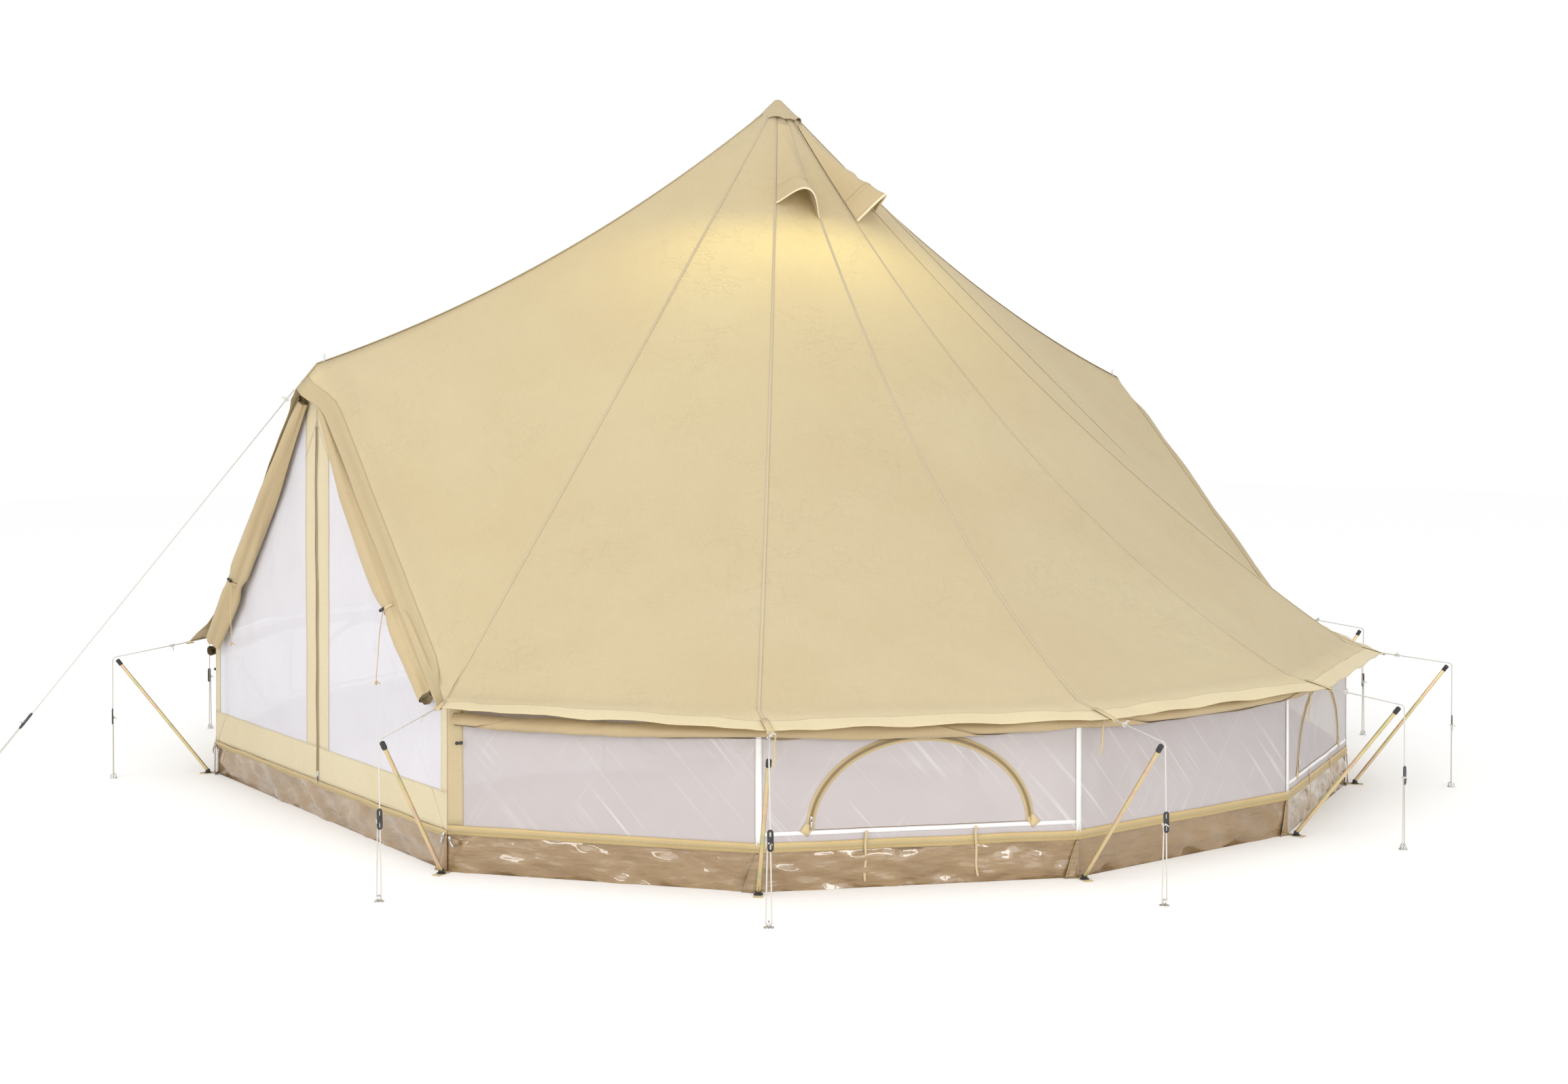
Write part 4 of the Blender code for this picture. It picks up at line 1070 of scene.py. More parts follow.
def outward_at(points, angle):
    """Normals that face up and out along a ridge."""
    across = spot(angle + 90, 1, 0).normalized()
    found = []
    for i in range(len(points)):
        before, after = points[max(0, i - 1)], points[min(len(points) - 1, i + 1)]
        normal = (after - before).cross(across).normalized()
        found.append(normal if normal.z > 0 else -normal)
    return found


def make_ridge_seams():
    grids = []
    for angle in CORNER_ANGLES:
        points = ridge_path(angle)
        grids.append(tape(points, SEAM_WIDTH, 0.0014, outward_at(points, angle), lift=-0.0002))
    for end, angle in ((1, 0), (-1, 180)):
        points = [door_ridge_spot(end, i / 60) for i in range(1, 60)]
        points += [door_ridge_spot(end, 1).lerp(hood_tip(end), i / 4) for i in range(4)]
        grids.append(tape(points, SEAM_WIDTH, 0.0014, outward_at(points, angle), lift=-0.0002))
    return piece("ridge_seams", grids, CANVAS_SEAM, caps="all")


def make_cap():
    """The reinforced cone over the crown, with a wavy stitched hem."""
    rows, places = [], []
    steps, columns, rim, tip = 22, 96, 0.106, 0.014
    for i in range(steps + 1):
        share = i / steps
        radius = rim * share
        height = CROWN_HEIGHT + 0.043 - max(0.0, radius - tip) - 0.003 * min(1.0, radius / tip) ** 2
        if radius > CROWN_RADIUS:
            fraction = (radius - CROWN_RADIUS) / (WALL_TOP_RADIUS - CROWN_RADIUS)
            height = max(height, ridge_spot(90, fraction).z + 0.007)
        row, uv = [], []
        for j in range(columns + 1):
            turn = 2 * math.pi * j / columns
            ripple = 0.0035 * smooth(share, 0.5, 1.0) * (math.sin(9 * turn + 1) + 0.6 * math.sin(14 * turn))
            sag = 0.006 * smooth(share, 0.75, 1.0) * math.sin(5 * turn + 0.4)
            x, y = SIDE_STRETCH * radius * math.sin(turn), -radius * math.cos(turn)
            row.append((x, y, height + float(ripple * 0.6 - sag)))
            uv.append((turn * radius, (rim - radius) * 1.25))
        rows.append(row)
        places.append(uv)
    cloth = canvas_material("canvas_cap", (0.48, 0.395, 0.245), tone=0.05, rows=(0.006, 0.045, 0.052))
    cap = piece("crown_cap", [(np.array(rows), np.array(places), 0)], cloth,
                replaces=("apex_cap",))
    thicken(cap, 0.0016, 1.0)


def panel_spot(panel, sign, across, fraction):
    first = ridge_spot(sign * SIDE_ANGLES[panel - 1], fraction)
    return first.lerp(ridge_spot(sign * SIDE_ANGLES[panel], fraction), across)


def panel_normal(panel, sign, fraction):
    down = panel_spot(panel, sign, 0.5, fraction + 0.01) - panel_spot(panel, sign, 0.5, fraction)
    along = panel_spot(panel, sign, 1, fraction) - panel_spot(panel, sign, 0, fraction)
    normal = down.cross(along).normalized()
    return normal if normal.z > 0 else -normal


def hood_point(panel, sign, across, down, lift=0.0):
    """A point of a vent's hood: down goes from under the cap (0) to the mouth's rim (1)."""
    fraction = VENT_TOP * 0.55 + (VENT_MOUTH - VENT_TOP * 0.55) * down
    normal = panel_normal(panel, sign, fraction)
    arch = math.sin(math.pi * across)
    tug = 0.004 * math.sin(9 * across + 4 * down + panel) * arch * down
    pucker = 0.010 * math.exp(-(((across - 0.55) / 0.10) ** 2) - ((down - 0.72) / 0.16) ** 2)
    crease = pucker * math.sin(34 * down + 8 * across)
    stand = 0.0065 + HOOD_RISE * arch**1.2 * down**1.5 + tug + crease * 0.7 + lift
    return panel_spot(panel, sign, 0.015 + 0.97 * across, fraction) + normal * stand


def make_vents():
    """Scoops of canvas over the vents, with a bound rim, and mesh over each hole."""
    for side, sign in SIDES.items():
        for panel in VENT_PANELS:
            tag = f"{side}_{panel}"
            rows = [[hood_point(panel, sign, j / 36, i / 28) for j in range(37)] for i in range(29)]
            hood = piece(f"vent_scoop_{tag}", [grid(rows)], CANVAS_HOOD_SHADED,
                         replaces=(f"vent_hood_{tag}",))
            thicken(hood, 0.0011)
            rim = rows[-1]
            normals = [panel_normal(panel, sign, VENT_MOUTH)] * len(rim)
            outline = [(-0.0012, -0.0022), (-0.0012, 0.0022), (0.009, 0.0020), (0.009, -0.0014),
                       (-0.0012, -0.0022)]
            binding = piece(f"vent_binding_{tag}", [sweep(rim, outline, normals)], CANVAS_BIND,
                            caps="all")
            band_rows = [[hood_point(panel, sign, j / 36, 0.80 + 0.02 * i, 0.0012) for j in range(37)]
                         for i in range(3)]
            band = piece(f"vent_band_{tag}", [grid(band_rows)], CANVAS_HOOD_SHADED)
            thicken(band, 0.0008)
            centre, normal = vent_centre(panel, sign), panel_normal(panel, sign, VENT_MOUTH)
            side_way = normal.orthogonal().normalized()
            turns = [2 * math.pi * k / 24 for k in range(25)]
            around = [side_way * math.cos(turn) + normal.cross(side_way) * math.sin(turn) for turn in turns]
            disc = [[centre - normal * 0.004 + way * radius for way in around]
                    for radius in (0.001, 0.02, 0.044)]
            screen = piece(f"vent_screen_{tag}", [grid(disc)], NETTING)


# ---------------------------------------------------------------- walls and windows

def wall_width(panel, height):
    first = wall_spot(SIDE_ANGLES[panel - 1], height)
    return (wall_spot(SIDE_ANGLES[panel], height) - first).length


def wall_normal(panel, sign):
    first, second = sign * SIDE_ANGLES[panel - 1], sign * SIDE_ANGLES[panel]
    along = wall_spot(second, 0.3) - wall_spot(first, 0.3)
    upward = wall_spot(first, 0.6) - wall_spot(first, 0.1)
    normal = along.cross(upward).normalized()
    return normal if normal.dot(wall_spot(first, 0)) > 0 else -normal


def wall_fold(panel, sign, x, height):
    """The netting's slack there: soft pulls that fan down from the panel's upper corners."""
    lift = 0.0
    for k in range(10):
        seed = Vector((k * 3.7 + panel * 11.3, sign * 2.1, 0.7))
        lean = (0.55 if panel <= 2 else -0.55) + 0.7 * noise.noise(seed * 1.3)
        start = -0.55 + 1.1 * k / 9 + 0.06 * noise.noise(seed * 1.7)
        width = 0.012 + 0.02 * abs(noise.noise(seed * 2.3))
        below = WALL_HEIGHT - height
        away = (x - start + lean * below) / (width * (1 + 2.5 * below))
        lift += 0.0026 * (0.3 + abs(noise.noise(seed * 3.1))) * math.exp(-(away**2))
    lift += 0.0035 * noise.noise(Vector((x * 5 + panel, height * 3.2, sign * 4.0)))
    half = wall_width(panel, height) / 2
    near_edge = min(1.0, max(0.0, half - abs(x) - 0.03) / 0.05)
    near_edge *= min(1.0, max(0.0, height - TUB_HEIGHT) / 0.04)
    return lift * near_edge * min(1.0, max(0.0, WALL_HEIGHT - height) / 0.03)


def wall_place(panel, sign, x, height, lift=0.0, cloth=True):
    """A point on a wall panel: x from its middle towards the rear, and a height."""
    across = 0.5 + x / wall_width(panel, height)
    first = wall_spot(sign * SIDE_ANGLES[panel - 1], height)
    point = first.lerp(wall_spot(sign * SIDE_ANGLES[panel], height), across)
    fold = wall_fold(panel, sign, x, height) if cloth else 0.0
    return point + wall_normal(panel, sign) * (lift + fold)


def moon_spot(part, scale_width=1.0, scale_rise=1.0):
    """(x, height) round a window's half-moon, from its rear end (0) to its front end (1)."""
    turn = math.pi * part
    half = WINDOW_WIDTH / 2 * scale_width
    return half * math.cos(turn), WINDOW_SILL + WINDOW_RISE * scale_rise * math.sin(turn)


def panel_sheet(panel, sign, spots):
    """A grid of netting through (x, height) spots."""
    rows = [[tuple(wall_place(panel, sign, x, h)) for x, h in row] for row in spots]
    places = np.array(spots, float) + np.array([panel * 1.7 + sign * 3.1, 0.0])
    return np.array(rows), places, 0


def plain_panel(panel, low, high, columns, rows):
    spots = []
    for i in range(rows + 1):
        height = high + (low - high) * i / rows
        half = wall_width(panel, height) / 2
        spots.append([(-half + 2 * half * j / columns, height) for j in range(columns + 1)])
    return spots


def window_surround(panel):
    """Spots between the half-moon and the panel's sides and top."""
    steps, rings = 96, 9
    spots = []
    for k in range(rings + 1):
        share = k / rings
        row = []
        for j in range(steps + 1):
            part = j / steps
            x, h = moon_spot(part, 1.004, 1.006)
            turn = math.pi * part
            half = wall_width(panel, WALL_TOP) / 2
            reach_side = half / max(1e-6, abs(math.cos(turn)))
            reach_top = (WALL_TOP - WINDOW_SILL) / max(1e-6, math.sin(turn))
            reach = min(reach_side, reach_top)
            far = (reach * math.cos(turn), WINDOW_SILL + reach * math.sin(turn))
            wide = wall_width(panel, far[1]) / 2
            far = (max(-wide, min(wide, far[0])), far[1])
            row.append((x + (far[0] - x) * share, h + (far[1] - h) * share))
        spots.append(row)
    return spots


def make_wall(side, sign):
    """A side's netting: five panels, with the windows cut out of two."""
    grids = []
    for panel in range(1, SIDE_PANELS + 1):
        if panel in WINDOW_PANELS:
            parts = [plain_panel(panel, WALL_LOW, WINDOW_SILL, 90, 6), window_surround(panel)]
        else:
            parts = [plain_panel(panel, WALL_LOW, WALL_TOP, 90, 36)]
        for spots in parts:
            grids.append(panel_sheet(panel, sign, spots))
    wall = piece(f"netting_wall_{side}", grids, NETTING, replaces=(f"mesh_wall_{side}",))
    trims = make_wall_trims(side, sign)
    for panel in WINDOW_PANELS:
        make_window(side, sign, panel)


def make_wall_trims(side, sign):
    """White webbing at the corners and canvas edges beside the doors."""
    corners = []
    for index in range(1, SIDE_PANELS):
        angle = sign * SIDE_ANGLES[index]
        path = [wall_spot(angle, 0.155 + 0.44 * i / 10, 0.0012) for i in range(11)]
        corners.append(tape(path, CORNER_TAPE, TAPE, spot(angle, 1, 0)))
    webbing = piece(f"corner_webbing_{side}", corners, WEBBING_WHITE, caps="all")
    edges = []
    for panel, toward in ((1, -1), (SIDE_PANELS, 1)):
        spots = []
        for j in range(7):
            inset = EDGE_CANVAS * j / 6
            spots.append([(toward * (wall_width(panel, h) / 2 - inset), h) for h in
                          [0.16 + 0.435 * i / 14 for i in range(15)]])
        rows = [[wall_place(panel, sign, x, h, 0.0016, False) for x, h in row] for row in spots]
        rows = np.array([[tuple(p) for p in row] for row in rows])
        places = np.array([[(h, EDGE_CANVAS * j / 6) for _, h in row] for j, row in enumerate(spots)])
        edges.append((rows, places, 0))
    canvas = piece(f"wall_edge_canvas_{side}", edges, CANVAS_EDGE)
    thicken(canvas, 0.0012)
    return [webbing, canvas]


def make_window(side, sign, panel):
    """A half-moon flap with its half of the arched zip, and the fixed parts round it."""
    body = f"window_{side}_{panel}"
    tag = f"{side}_{panel}"
    outward = wall_normal(panel, sign)
    spots = []
    for k in range(15):
        share = 1 - k / 14
        row = []
        for j in range(73):
            x, h = moon_spot(j / 72, 0.996, 0.994)
            row.append((x * share, WINDOW_SILL + 0.002 + (h - WINDOW_SILL) * share))
        spots.append(row)
    flap = piece(f"window_netting_{tag}", [panel_sheet(panel, sign, spots)], NETTING, body=body,
                 replaces=(f"window_flap_{tag}",))
    for scale, name, owner in ((1, "outer", "tent"), (-1, "inner", body)):
        path = []
        for j in range(61):
            x, h = moon_spot(j / 60, 1 + scale * 0.019, 1 + scale * 0.023)
            path.append(wall_place(panel, sign, x, h, 0.0008))
        piece(f"window_zip_{name}_{tag}", [half_zip(path, 0.0135, outward, -scale * sign)],
                            ZIP_HALF, body=owner, caps="all")
    half = wall_width(panel, WINDOW_SILL) / 2
    sill = [wall_place(panel, sign, half * (2 * i / 40 - 1), WINDOW_SILL - 0.009, 0.0006) for i in range(41)]
    piece(f"window_sill_tape_{tag}", [tape(sill, 0.014, TAPE, outward)], WEBBING_WHITE,
          caps="all")
    for end, part in (("front", 0.985), ("rear", 0.015)):
        x, _ = moon_spot(part)
        stop = [wall_place(panel, sign, x * (1 + 0.02 * i), WINDOW_SILL + 0.018 - 0.010 * i, 0.0024)
                for i in range(4)]
        piece(f"window_zip_{end}_end_{tag}", [tape(stop, 0.032, TAPE, outward)], WEBBING_TAN,
              caps="all")
    x, h = moon_spot(0.955)
    pull_tab(f"window_pull_{tag}", wall_place(panel, sign, x, h, 0.005), -UP, outward, body)
    for number, x in enumerate((-0.19, 0.19), start=1):
        top = wall_place(panel, sign, x, WINDOW_SILL - 0.006, 0.004)
        hanging_tie(f"window_tie_{tag}_{number}", top, outward, 0.172, 0.008, panel + number)


def half_zip(path, width, normals, toward):
    """Half a zip: tape from the coil outwards; toward says which side of the path has the coil."""
    half = width / 2
    outline = [(-half, 0.0), (-half, TAPE), (half - 0.0045, TAPE), (half - 0.003, TAPE + 0.0018),
               (half - 0.001, TAPE + 0.0021), (half, TAPE + 0.001), (half, 0.0), (-half, 0.0)]
    outline = [(x * toward, y) for x, y in outline]
    rows, places, material = sweep(path, outline, normals)
    places[:, :, 1] = [x * toward - half + 0.0025 for x, _ in outline]
    return rows, places, material


def pull_tab(name, place, down, outward, body="tent"):
    """A zip slider's body, ring and tab."""
    down, outward = Vector(down).normalized(), Vector(outward).normalized()
    aside = down.cross(outward).normalized()
    hull = [Vector(place) + down * (0.012 * i / 6 - 0.006) for i in range(7)]
    widths = [0.55, 0.85, 1.0, 0.9, 0.85, 0.9, 0.6]
    outline = [(-0.0055, 0), (-0.0045, 0.0035), (0.0045, 0.0035), (0.0055, 0), (-0.0055, 0)]
    ring = []
    for i in range(17):
        turn = 2 * math.pi * i / 16
        ring.append(Vector(place) + down * (0.009 + 0.005 * math.cos(turn)) + aside * 0.0042 * math.sin(turn)
                    + outward * 0.004)
    tab = [Vector(place) + down * (0.013 + 0.022 * i / 6) + outward * (0.0045 - 0.0006 * i) for i in range(7)]
    grids = [sweep(hull, outline, outward, widths), sweep(ring, circle(0.0009, 6)),
             sweep(tab, flat_outline(0.0042), outward, [0.5, 0.8, 0.9, 0.8, 0.95, 1.0, 0.7])]
    piece(name, grids, BRIGHT, body=body, caps=(0, 2))


def hanging_tie(name, top, outward, length, width, seed):
    """A narrow tape that hangs, swaying a little."""
    top, outward = Vector(top), Vector(outward).normalized()
    along = UP.cross(outward).normalized()
    path = []
    steps = 26
    for i in range(steps + 1):
        down = i / steps
        sway = 0.009 * math.sin(3.1 * down + seed) * down + 0.003 * math.sin(8 * down + seed)
        stand = 0.0035 + 0.005 * abs(math.sin(2.2 * down + seed * 0.5))
        path.append(top - UP * length * down + along * sway + outward * stand)
    tie = piece(name, [sweep(path, flat_outline(width / 2), outward)], CORD_TAN, caps="all")


def spiral(turns, inner, outer, per_turn, lobes, depth, phase, flatten=1.0):
    """The section of a rolled sheet, with soft lobes that grow towards its outside."""
    points = []
    total = int(turns * per_turn)
    for i in range(total + 1):
        share = i / total
        turn = 2 * math.pi * turns * share + phase
        radius = inner + (outer - inner) * share
        radius *= 1 + depth * share * math.sin(lobes * turn + phase * 2)
        points.append((radius * math.cos(turn), radius * math.sin(turn) * flatten))
    return points


def make_wall_roll(side, sign):
    """The canvas wall, rolled up under the hem; it sags between its ties."""
    out = WALL_ROLL_RADIUS + 0.004
    path, scales = [], []
    steps = 26
    for i in range(SIDE_PANELS):
        first = wall_spot(sign * SIDE_ANGLES[i], WALL_ROLL_HEIGHT, out)
        second = wall_spot(sign * SIDE_ANGLES[i + 1], WALL_ROLL_HEIGHT, out)
        for j in range(steps):
            part = j / steps
            point = first.lerp(second, part)
            point.z -= 4 * WALL_ROLL_SAG * part * (1 - part)
            full = 0.80 + 0.20 * math.sin(math.pi * part) ** 0.5
            wobble = 1 + 0.06 * noise.noise(Vector((i * 3 + part * 7, sign, 0.3)))
            path.append(point)
            scales.append(full * wobble)
    path = rounded(path[1:], 5)[:-1]
    scales = scales[1 : len(path) + 1]

    def section(share):
        return spiral(3.6, 0.010, WALL_ROLL_RADIUS, 18, 3, 0.13, 0.8 + 6.5 * math.sin(9 * share), 0.9)

    rows, places, _ = sweep(path, section, UP, scales)
    for i, row in enumerate(rows):
        for j, point in enumerate(row):
            crease = noise.noise(Vector((j * 0.28 - i * 0.16, i * 0.09, sign * 3.0)))
            row[j] = point + (point - np.array(path[i])) * 0.16 * crease
    roll = piece(f"rolled_canvas_wall_{side}", [(rows, places, 0)], CANVAS_SHADE,
                 replaces=(f"rolled_wall_{side}",))
    for index in range(1, SIDE_PANELS):
        angle = sign * (SIDE_ANGLES[index] + 1.2)
        top = wall_spot(angle, WALL_ROLL_HEIGHT + 0.015, 2 * WALL_ROLL_RADIUS + 0.004)
        hanging_tie(f"eave_tie_{side}_{index}", top, spot(angle, 1, 0), 0.125, 0.007, index)


def rounded(path, reach):
    """A path with its corners eased by averaging each point with its neighbours."""
    points = [Vector(p) for p in path]
    found = []
    for i in range(len(points)):
        near = points[max(0, i - reach): i + reach + 1]
        if i - reach < 0 or i + reach >= len(points):
            found.append(points[i])
            continue
        found.append(sum(near, Vector()) / len(near))
    return found


def toggle(name, place, axis, length=0.030):
    """A black barrel toggle with a waist for its loop."""
    half, radius = length / 2, TOGGLE_RADIUS
    profile = [(0.0, -half), (radius * 0.8, -half), (radius, -half + 0.002), (radius, -0.005),
               (radius * 0.72, -0.003), (radius * 0.72, 0.003), (radius, 0.005), (radius, half - 0.002),
               (radius * 0.8, half), (0.0, half)]
    piece(name, [lathe(profile, place, axis, 18)], PLASTIC)


# ---------------------------------------------------------------- doors

def outer_x(height):
    """Half the width of a door's opening at a height."""
    corner = abs(wall_spot(DOOR_ANGLE / 2, min(height, WALL_HEIGHT)).x)
    if height <= WALL_HEIGHT:
        return corner
    return corner * (DOOR_PEAK - height) / (DOOR_PEAK - WALL_HEIGHT)


def fold_x(height):
    """Where a leaf's fold line is at a height."""
    return LEAF_WIDTH * (LEAF_TOP - height) / (LEAF_TOP - TUB_HEIGHT)


def fold_height(x):
    return LEAF_TOP - x * (LEAF_TOP - TUB_HEIGHT) / LEAF_WIDTH


def door_place(end, sign, x, height, lift):
    """A point on a door, x out from its middle; the middle zip wanders a little."""
    wander = 0.0035 * math.sin(8.5 * height + 1) + 0.0015 * math.sin(23 * height)
    slack = 0.0032 * noise.noise(Vector((sign * x * 7, height * 1.3, end * 2.0)))
    pull = 0.0022 * noise.noise(Vector(((sign * x + height * 0.25) * 16, height * 0.8, 5.0)))
    edge = min(1.0, max(0.0, outer_x(height) - x) / 0.06) * min(1.0, max(0.0, height - TUB_HEIGHT) / 0.05)
    point = door_spot(sign * x, height, lift + (slack + pull) * edge, end)
    point.x += wander * math.exp(-x / 0.06) * min(1.0, (height - TUB_HEIGHT) / 0.1)
    return point


def door_sheet(end, sign, spots, lift=0.0):
    rows = np.array([[tuple(door_place(end, sign, x, h, lift)) for x, h in row] for row in spots])
    return rows, np.array(spots, float) * np.array([sign, 1.0]), 0


def between(inner, outer, low, high, columns, rows):
    """Spots between two edges, each a function of height."""
    spots = []
    for i in range(rows + 1):
        height = high + (low - high) * i / rows
        first, last = inner(height), outer(height)
        spots.append([(first + (last - first) * j / columns, height) for j in range(columns + 1)])
    return spots


def canvas_strip(name, end, sign, spots, body, across):
    """A pale canvas strip on a door; across gives each spot's coordinate over the strip."""
    rows, _, _ = door_sheet(end, sign, spots, 0.0016)
    if across == "x":
        places = np.array([[(h, x - row[0][0]) for x, h in row] for row in spots], float)
    else:
        places = np.array([[(x, abs(h - spots[-1][0][1])) for x, h in row] for row in spots], float)
    strip = piece(name, [(rows, places, 0)], CANVAS_PALE, body=body)
    thicken(strip, 0.0012)
    return strip


def make_leaf(end_name, end, side, sign):
    """A mesh leaf with its canvas foot band, centre strip and half of the middle zip."""
    body = f"{end_name}_leaf_{side}"
    tag = f"{end_name}_{side}"
    low, gap = TUB_HEIGHT + 0.0025, 0.002
    cut_back = 0.008
    high = fold_height(cut_back)

    def outer_edge(h):
        return min(fold_x(h), LEAF_WIDTH - cut_back)

    netting = between(lambda h: gap, lambda h: max(gap + 0.003, outer_edge(h) - 0.0002), low, high, 40, 90)
    leaf = piece(f"netting_leaf_{tag}", [door_sheet(end, sign, netting)], NETTING_DOOR, body=body,
                 replaces=(f"{end_name}_mesh_door_{side}",))
    foot = between(lambda h: 0.006, lambda h: outer_edge(h) - 0.0004, low, DOOR_BAND_TOP, 60, 8)
    foot_band = canvas_strip(f"leaf_foot_band_{tag}", end, sign, foot, body, "z")
    strip = []
    for i in range(61):
        share = i / 60
        row = []
        for j in range(6):
            x = 0.0085 + (CENTRE_STRIP - 0.0025) * j / 5
            top = fold_height(x) - 0.0008
            row.append((x, top + (DOOR_BAND_TOP - 0.004 - top) * share))
        strip.append(row)
    centre = canvas_strip(f"leaf_centre_strip_{tag}", end, sign, strip, body, "x")
    path = [door_place(end, sign, 0.0056, low + (1.525 - low) * i / 80, 0.0030) for i in range(81)]
    zip_half = piece(f"leaf_zip_{tag}", [half_zip(path, 0.0075, Vector((0, -end, 0)), -sign * end)], ZIP_HALF,
                     body=body, caps="all")


def make_door_side(end_name, end, side, sign):
    """The fixed netting between a leaf's fold and the opening's edge, with its canvas edges."""
    tag = f"{end_name}_{side}"
    spots = between(lambda h: max(fold_x(h) + 0.0002, 0.0004), lambda h: outer_x(h) - 0.003,
                    TUB_HEIGHT - 0.002, DOOR_PEAK - 0.055, 22, 90)
    netting = piece(f"netting_door_side_{tag}", [door_sheet(end, sign, spots)], NETTING_DOOR)

    def edge(h):
        return outer_x(h) - 0.001

    foot = between(lambda h: fold_x(h) + 0.0004, edge, TUB_HEIGHT, DOOR_BAND_TOP, 10, 8)
    trims = [canvas_strip(f"door_side_foot_{tag}", end, sign, foot, "tent", "z")]
    upright = between(lambda h: outer_x(h) - SIDE_STRIP, edge, DOOR_BAND_TOP - 0.004, WALL_HEIGHT, 5, 14)
    trims.append(canvas_strip(f"door_side_strip_{tag}", end, sign, upright, "tent", "x"))
    slant = between(lambda h: max(0.002, outer_x(h) - SIDE_STRIP), edge, WALL_HEIGHT - 0.004,
                    DOOR_PEAK - 0.06, 5, 40)
    trims.append(canvas_strip(f"door_slant_strip_{tag}", end, sign, slant, "tent", "x"))
    strip = []
    for i in range(15):
        row = []
        for j in range(6):
            x = 0.002 + (CENTRE_STRIP + 0.004) * j / 5
            high = DOOR_PEAK - x * (DOOR_PEAK - WALL_HEIGHT) / outer_x(WALL_HEIGHT) - 0.055
            low = fold_height(x) + 0.0008
            row.append((x, high + (low - high) * i / 14))
        strip.append(row)
    trims.append(canvas_strip(f"door_top_strip_{tag}", end, sign, strip, "tent", "x"))


def make_slider_pull(end_name, end):
    """The moving zip slider's ring and tab, on the frame's own slider."""
    low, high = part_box(f"{end_name}_door_slider")
    place = (low + high) / 2 + Vector((0, -end * 0.003, -0.006))
    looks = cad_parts[f"{end_name}_door_slider"].data.materials
    looks.clear()
    looks.append(BRIGHT)
    pull_tab(f"{end_name}_slider_pull", place, -UP, Vector((0, -end, 0)), f"{end_name}_slider")


def make_door_roll(end_name, end, side, sign):
    """A canvas door, rolled lengthways and tied back along its opening's slanted edge."""
    tag = f"{end_name}_{side}"
    path, scales = [], []
    steps = 64
    corner_x = abs(wall_spot(DOOR_ANGLE / 2, WALL_HEIGHT).x)
    slant = Vector((corner_x, WALL_HEIGHT - DOOR_PEAK))
    inward = Vector((slant.y, -slant.x)).normalized()
    for i in range(steps + 1):
        down = i / steps
        full = 0.55 + 0.45 * min(1.0, 3 * down) - 0.12 * max(0.0, 6 * down - 5)
        waist = 1 - 0.30 * math.exp(-(((down - 0.72) / 0.035) ** 2))
        x, drop = slant * (0.10 + 0.87 * down) + inward * (0.014 + ROLL_RADIUS * 1.35 * full)
        path.append(door_spot(sign * x, DOOR_PEAK + drop, 0.003 + ROLL_RADIUS * full, end))
        scales.append(full * waist)

    def section(share):
        outline = spiral(5.4, 0.008, ROLL_RADIUS, 26, 3, 0.24, 0.9 + 0.9 * share)
        return [(x * 1.5, y * 0.92) for x, y in outline]

    rows, places, _ = sweep(path, section, Vector((0, -end, 0)), scales)
    for i, row in enumerate(rows):
        for j, point in enumerate(row):
            crease = noise.noise(Vector((j * 0.42, i * 0.035 + j * 0.01, sign * 3.0 + end)))
            row[j] = point + (point - np.array(path[i])) * 0.26 * crease
    roll = piece(f"rolled_canvas_door_{tag}", [(rows, places, 0)], CANVAS_ROLL_SHADED,
                 replaces=(f"{end_name}_canvas_door_{side}",))
    tie_place = path[46] + Vector((-sign * 0.012, -end * 0.034, 0))
    facing = Vector((0, -end, 0))
    toggle(f"door_toggle_{tag}", tie_place, Vector((sign, 0, 0.35)))
    across = (path[47] - path[45]).normalized().cross(facing)
    ring = []
    for i in range(25):
        turn = 2 * math.pi * i / 24
        ring.append(path[46] + (across * math.cos(turn) + facing * math.sin(turn)) * 0.0315)
    piece(f"door_tie_band_{tag}", [sweep(ring, flat_outline(0.006), facing)], WEBBING_TAN)
    hang = tie_place + Vector((-sign * 0.004, 0.004 * end, -0.006))
    door_cord(f"door_tie_cord_{tag}", hang, facing, 0.26, sign + end)


def door_cord(name, top, outward, length, seed):
    """A thin cord that hangs free from a toggle and ends in a knot."""
    along = UP.cross(outward).normalized()
    path = []
    steps = 30
    for i in range(steps + 1):
        down = i / steps
        sway = (0.020 * math.sin(2.4 * down + seed) - 0.020 * math.sin(seed)
                + 0.004 * math.sin(9 * down + seed))
        path.append(Vector(top) - UP * length * down + along * sway + outward * 0.010 * math.sin(2 * down))
    end_knot = knot(name + "_knot", path[-1], UP, 0.0022, CORD_TAN)
    cord = piece(name, [sweep(path, circle(0.0018, 8))], CORD_TAN, caps="all")


# ---------------------------------------------------------------- groundsheet

def tub_place(first, second, a, height, seed):
    """A point on the groundsheet's upstand between two corners, with its heavy ripples."""
    point = wall_spot(first, height).lerp(wall_spot(second, height), a)
    width = (wall_spot(second, 0) - wall_spot(first, 0)).length
    outward = spot((first + second) / 2, 1, 0).normalized()
    x = (a - 0.5) * width
    body = min(1.0, min(a, 1 - a) * width / 0.06)
    level = height / TUB_HEIGHT
    wave = noise.noise(Vector((x * 7 + height * 9, height * 12, seed))) * 0.017
    wave -= abs(noise.noise(Vector((x * 11 - height * 8, height * 19 + x * 5, seed + 4)))) * 0.016
    belly = 0.006 * math.sin(math.pi * level)
    return point + outward * ((wave + belly) * body * min(1.0, (1 - level) * 5 + 0.15))


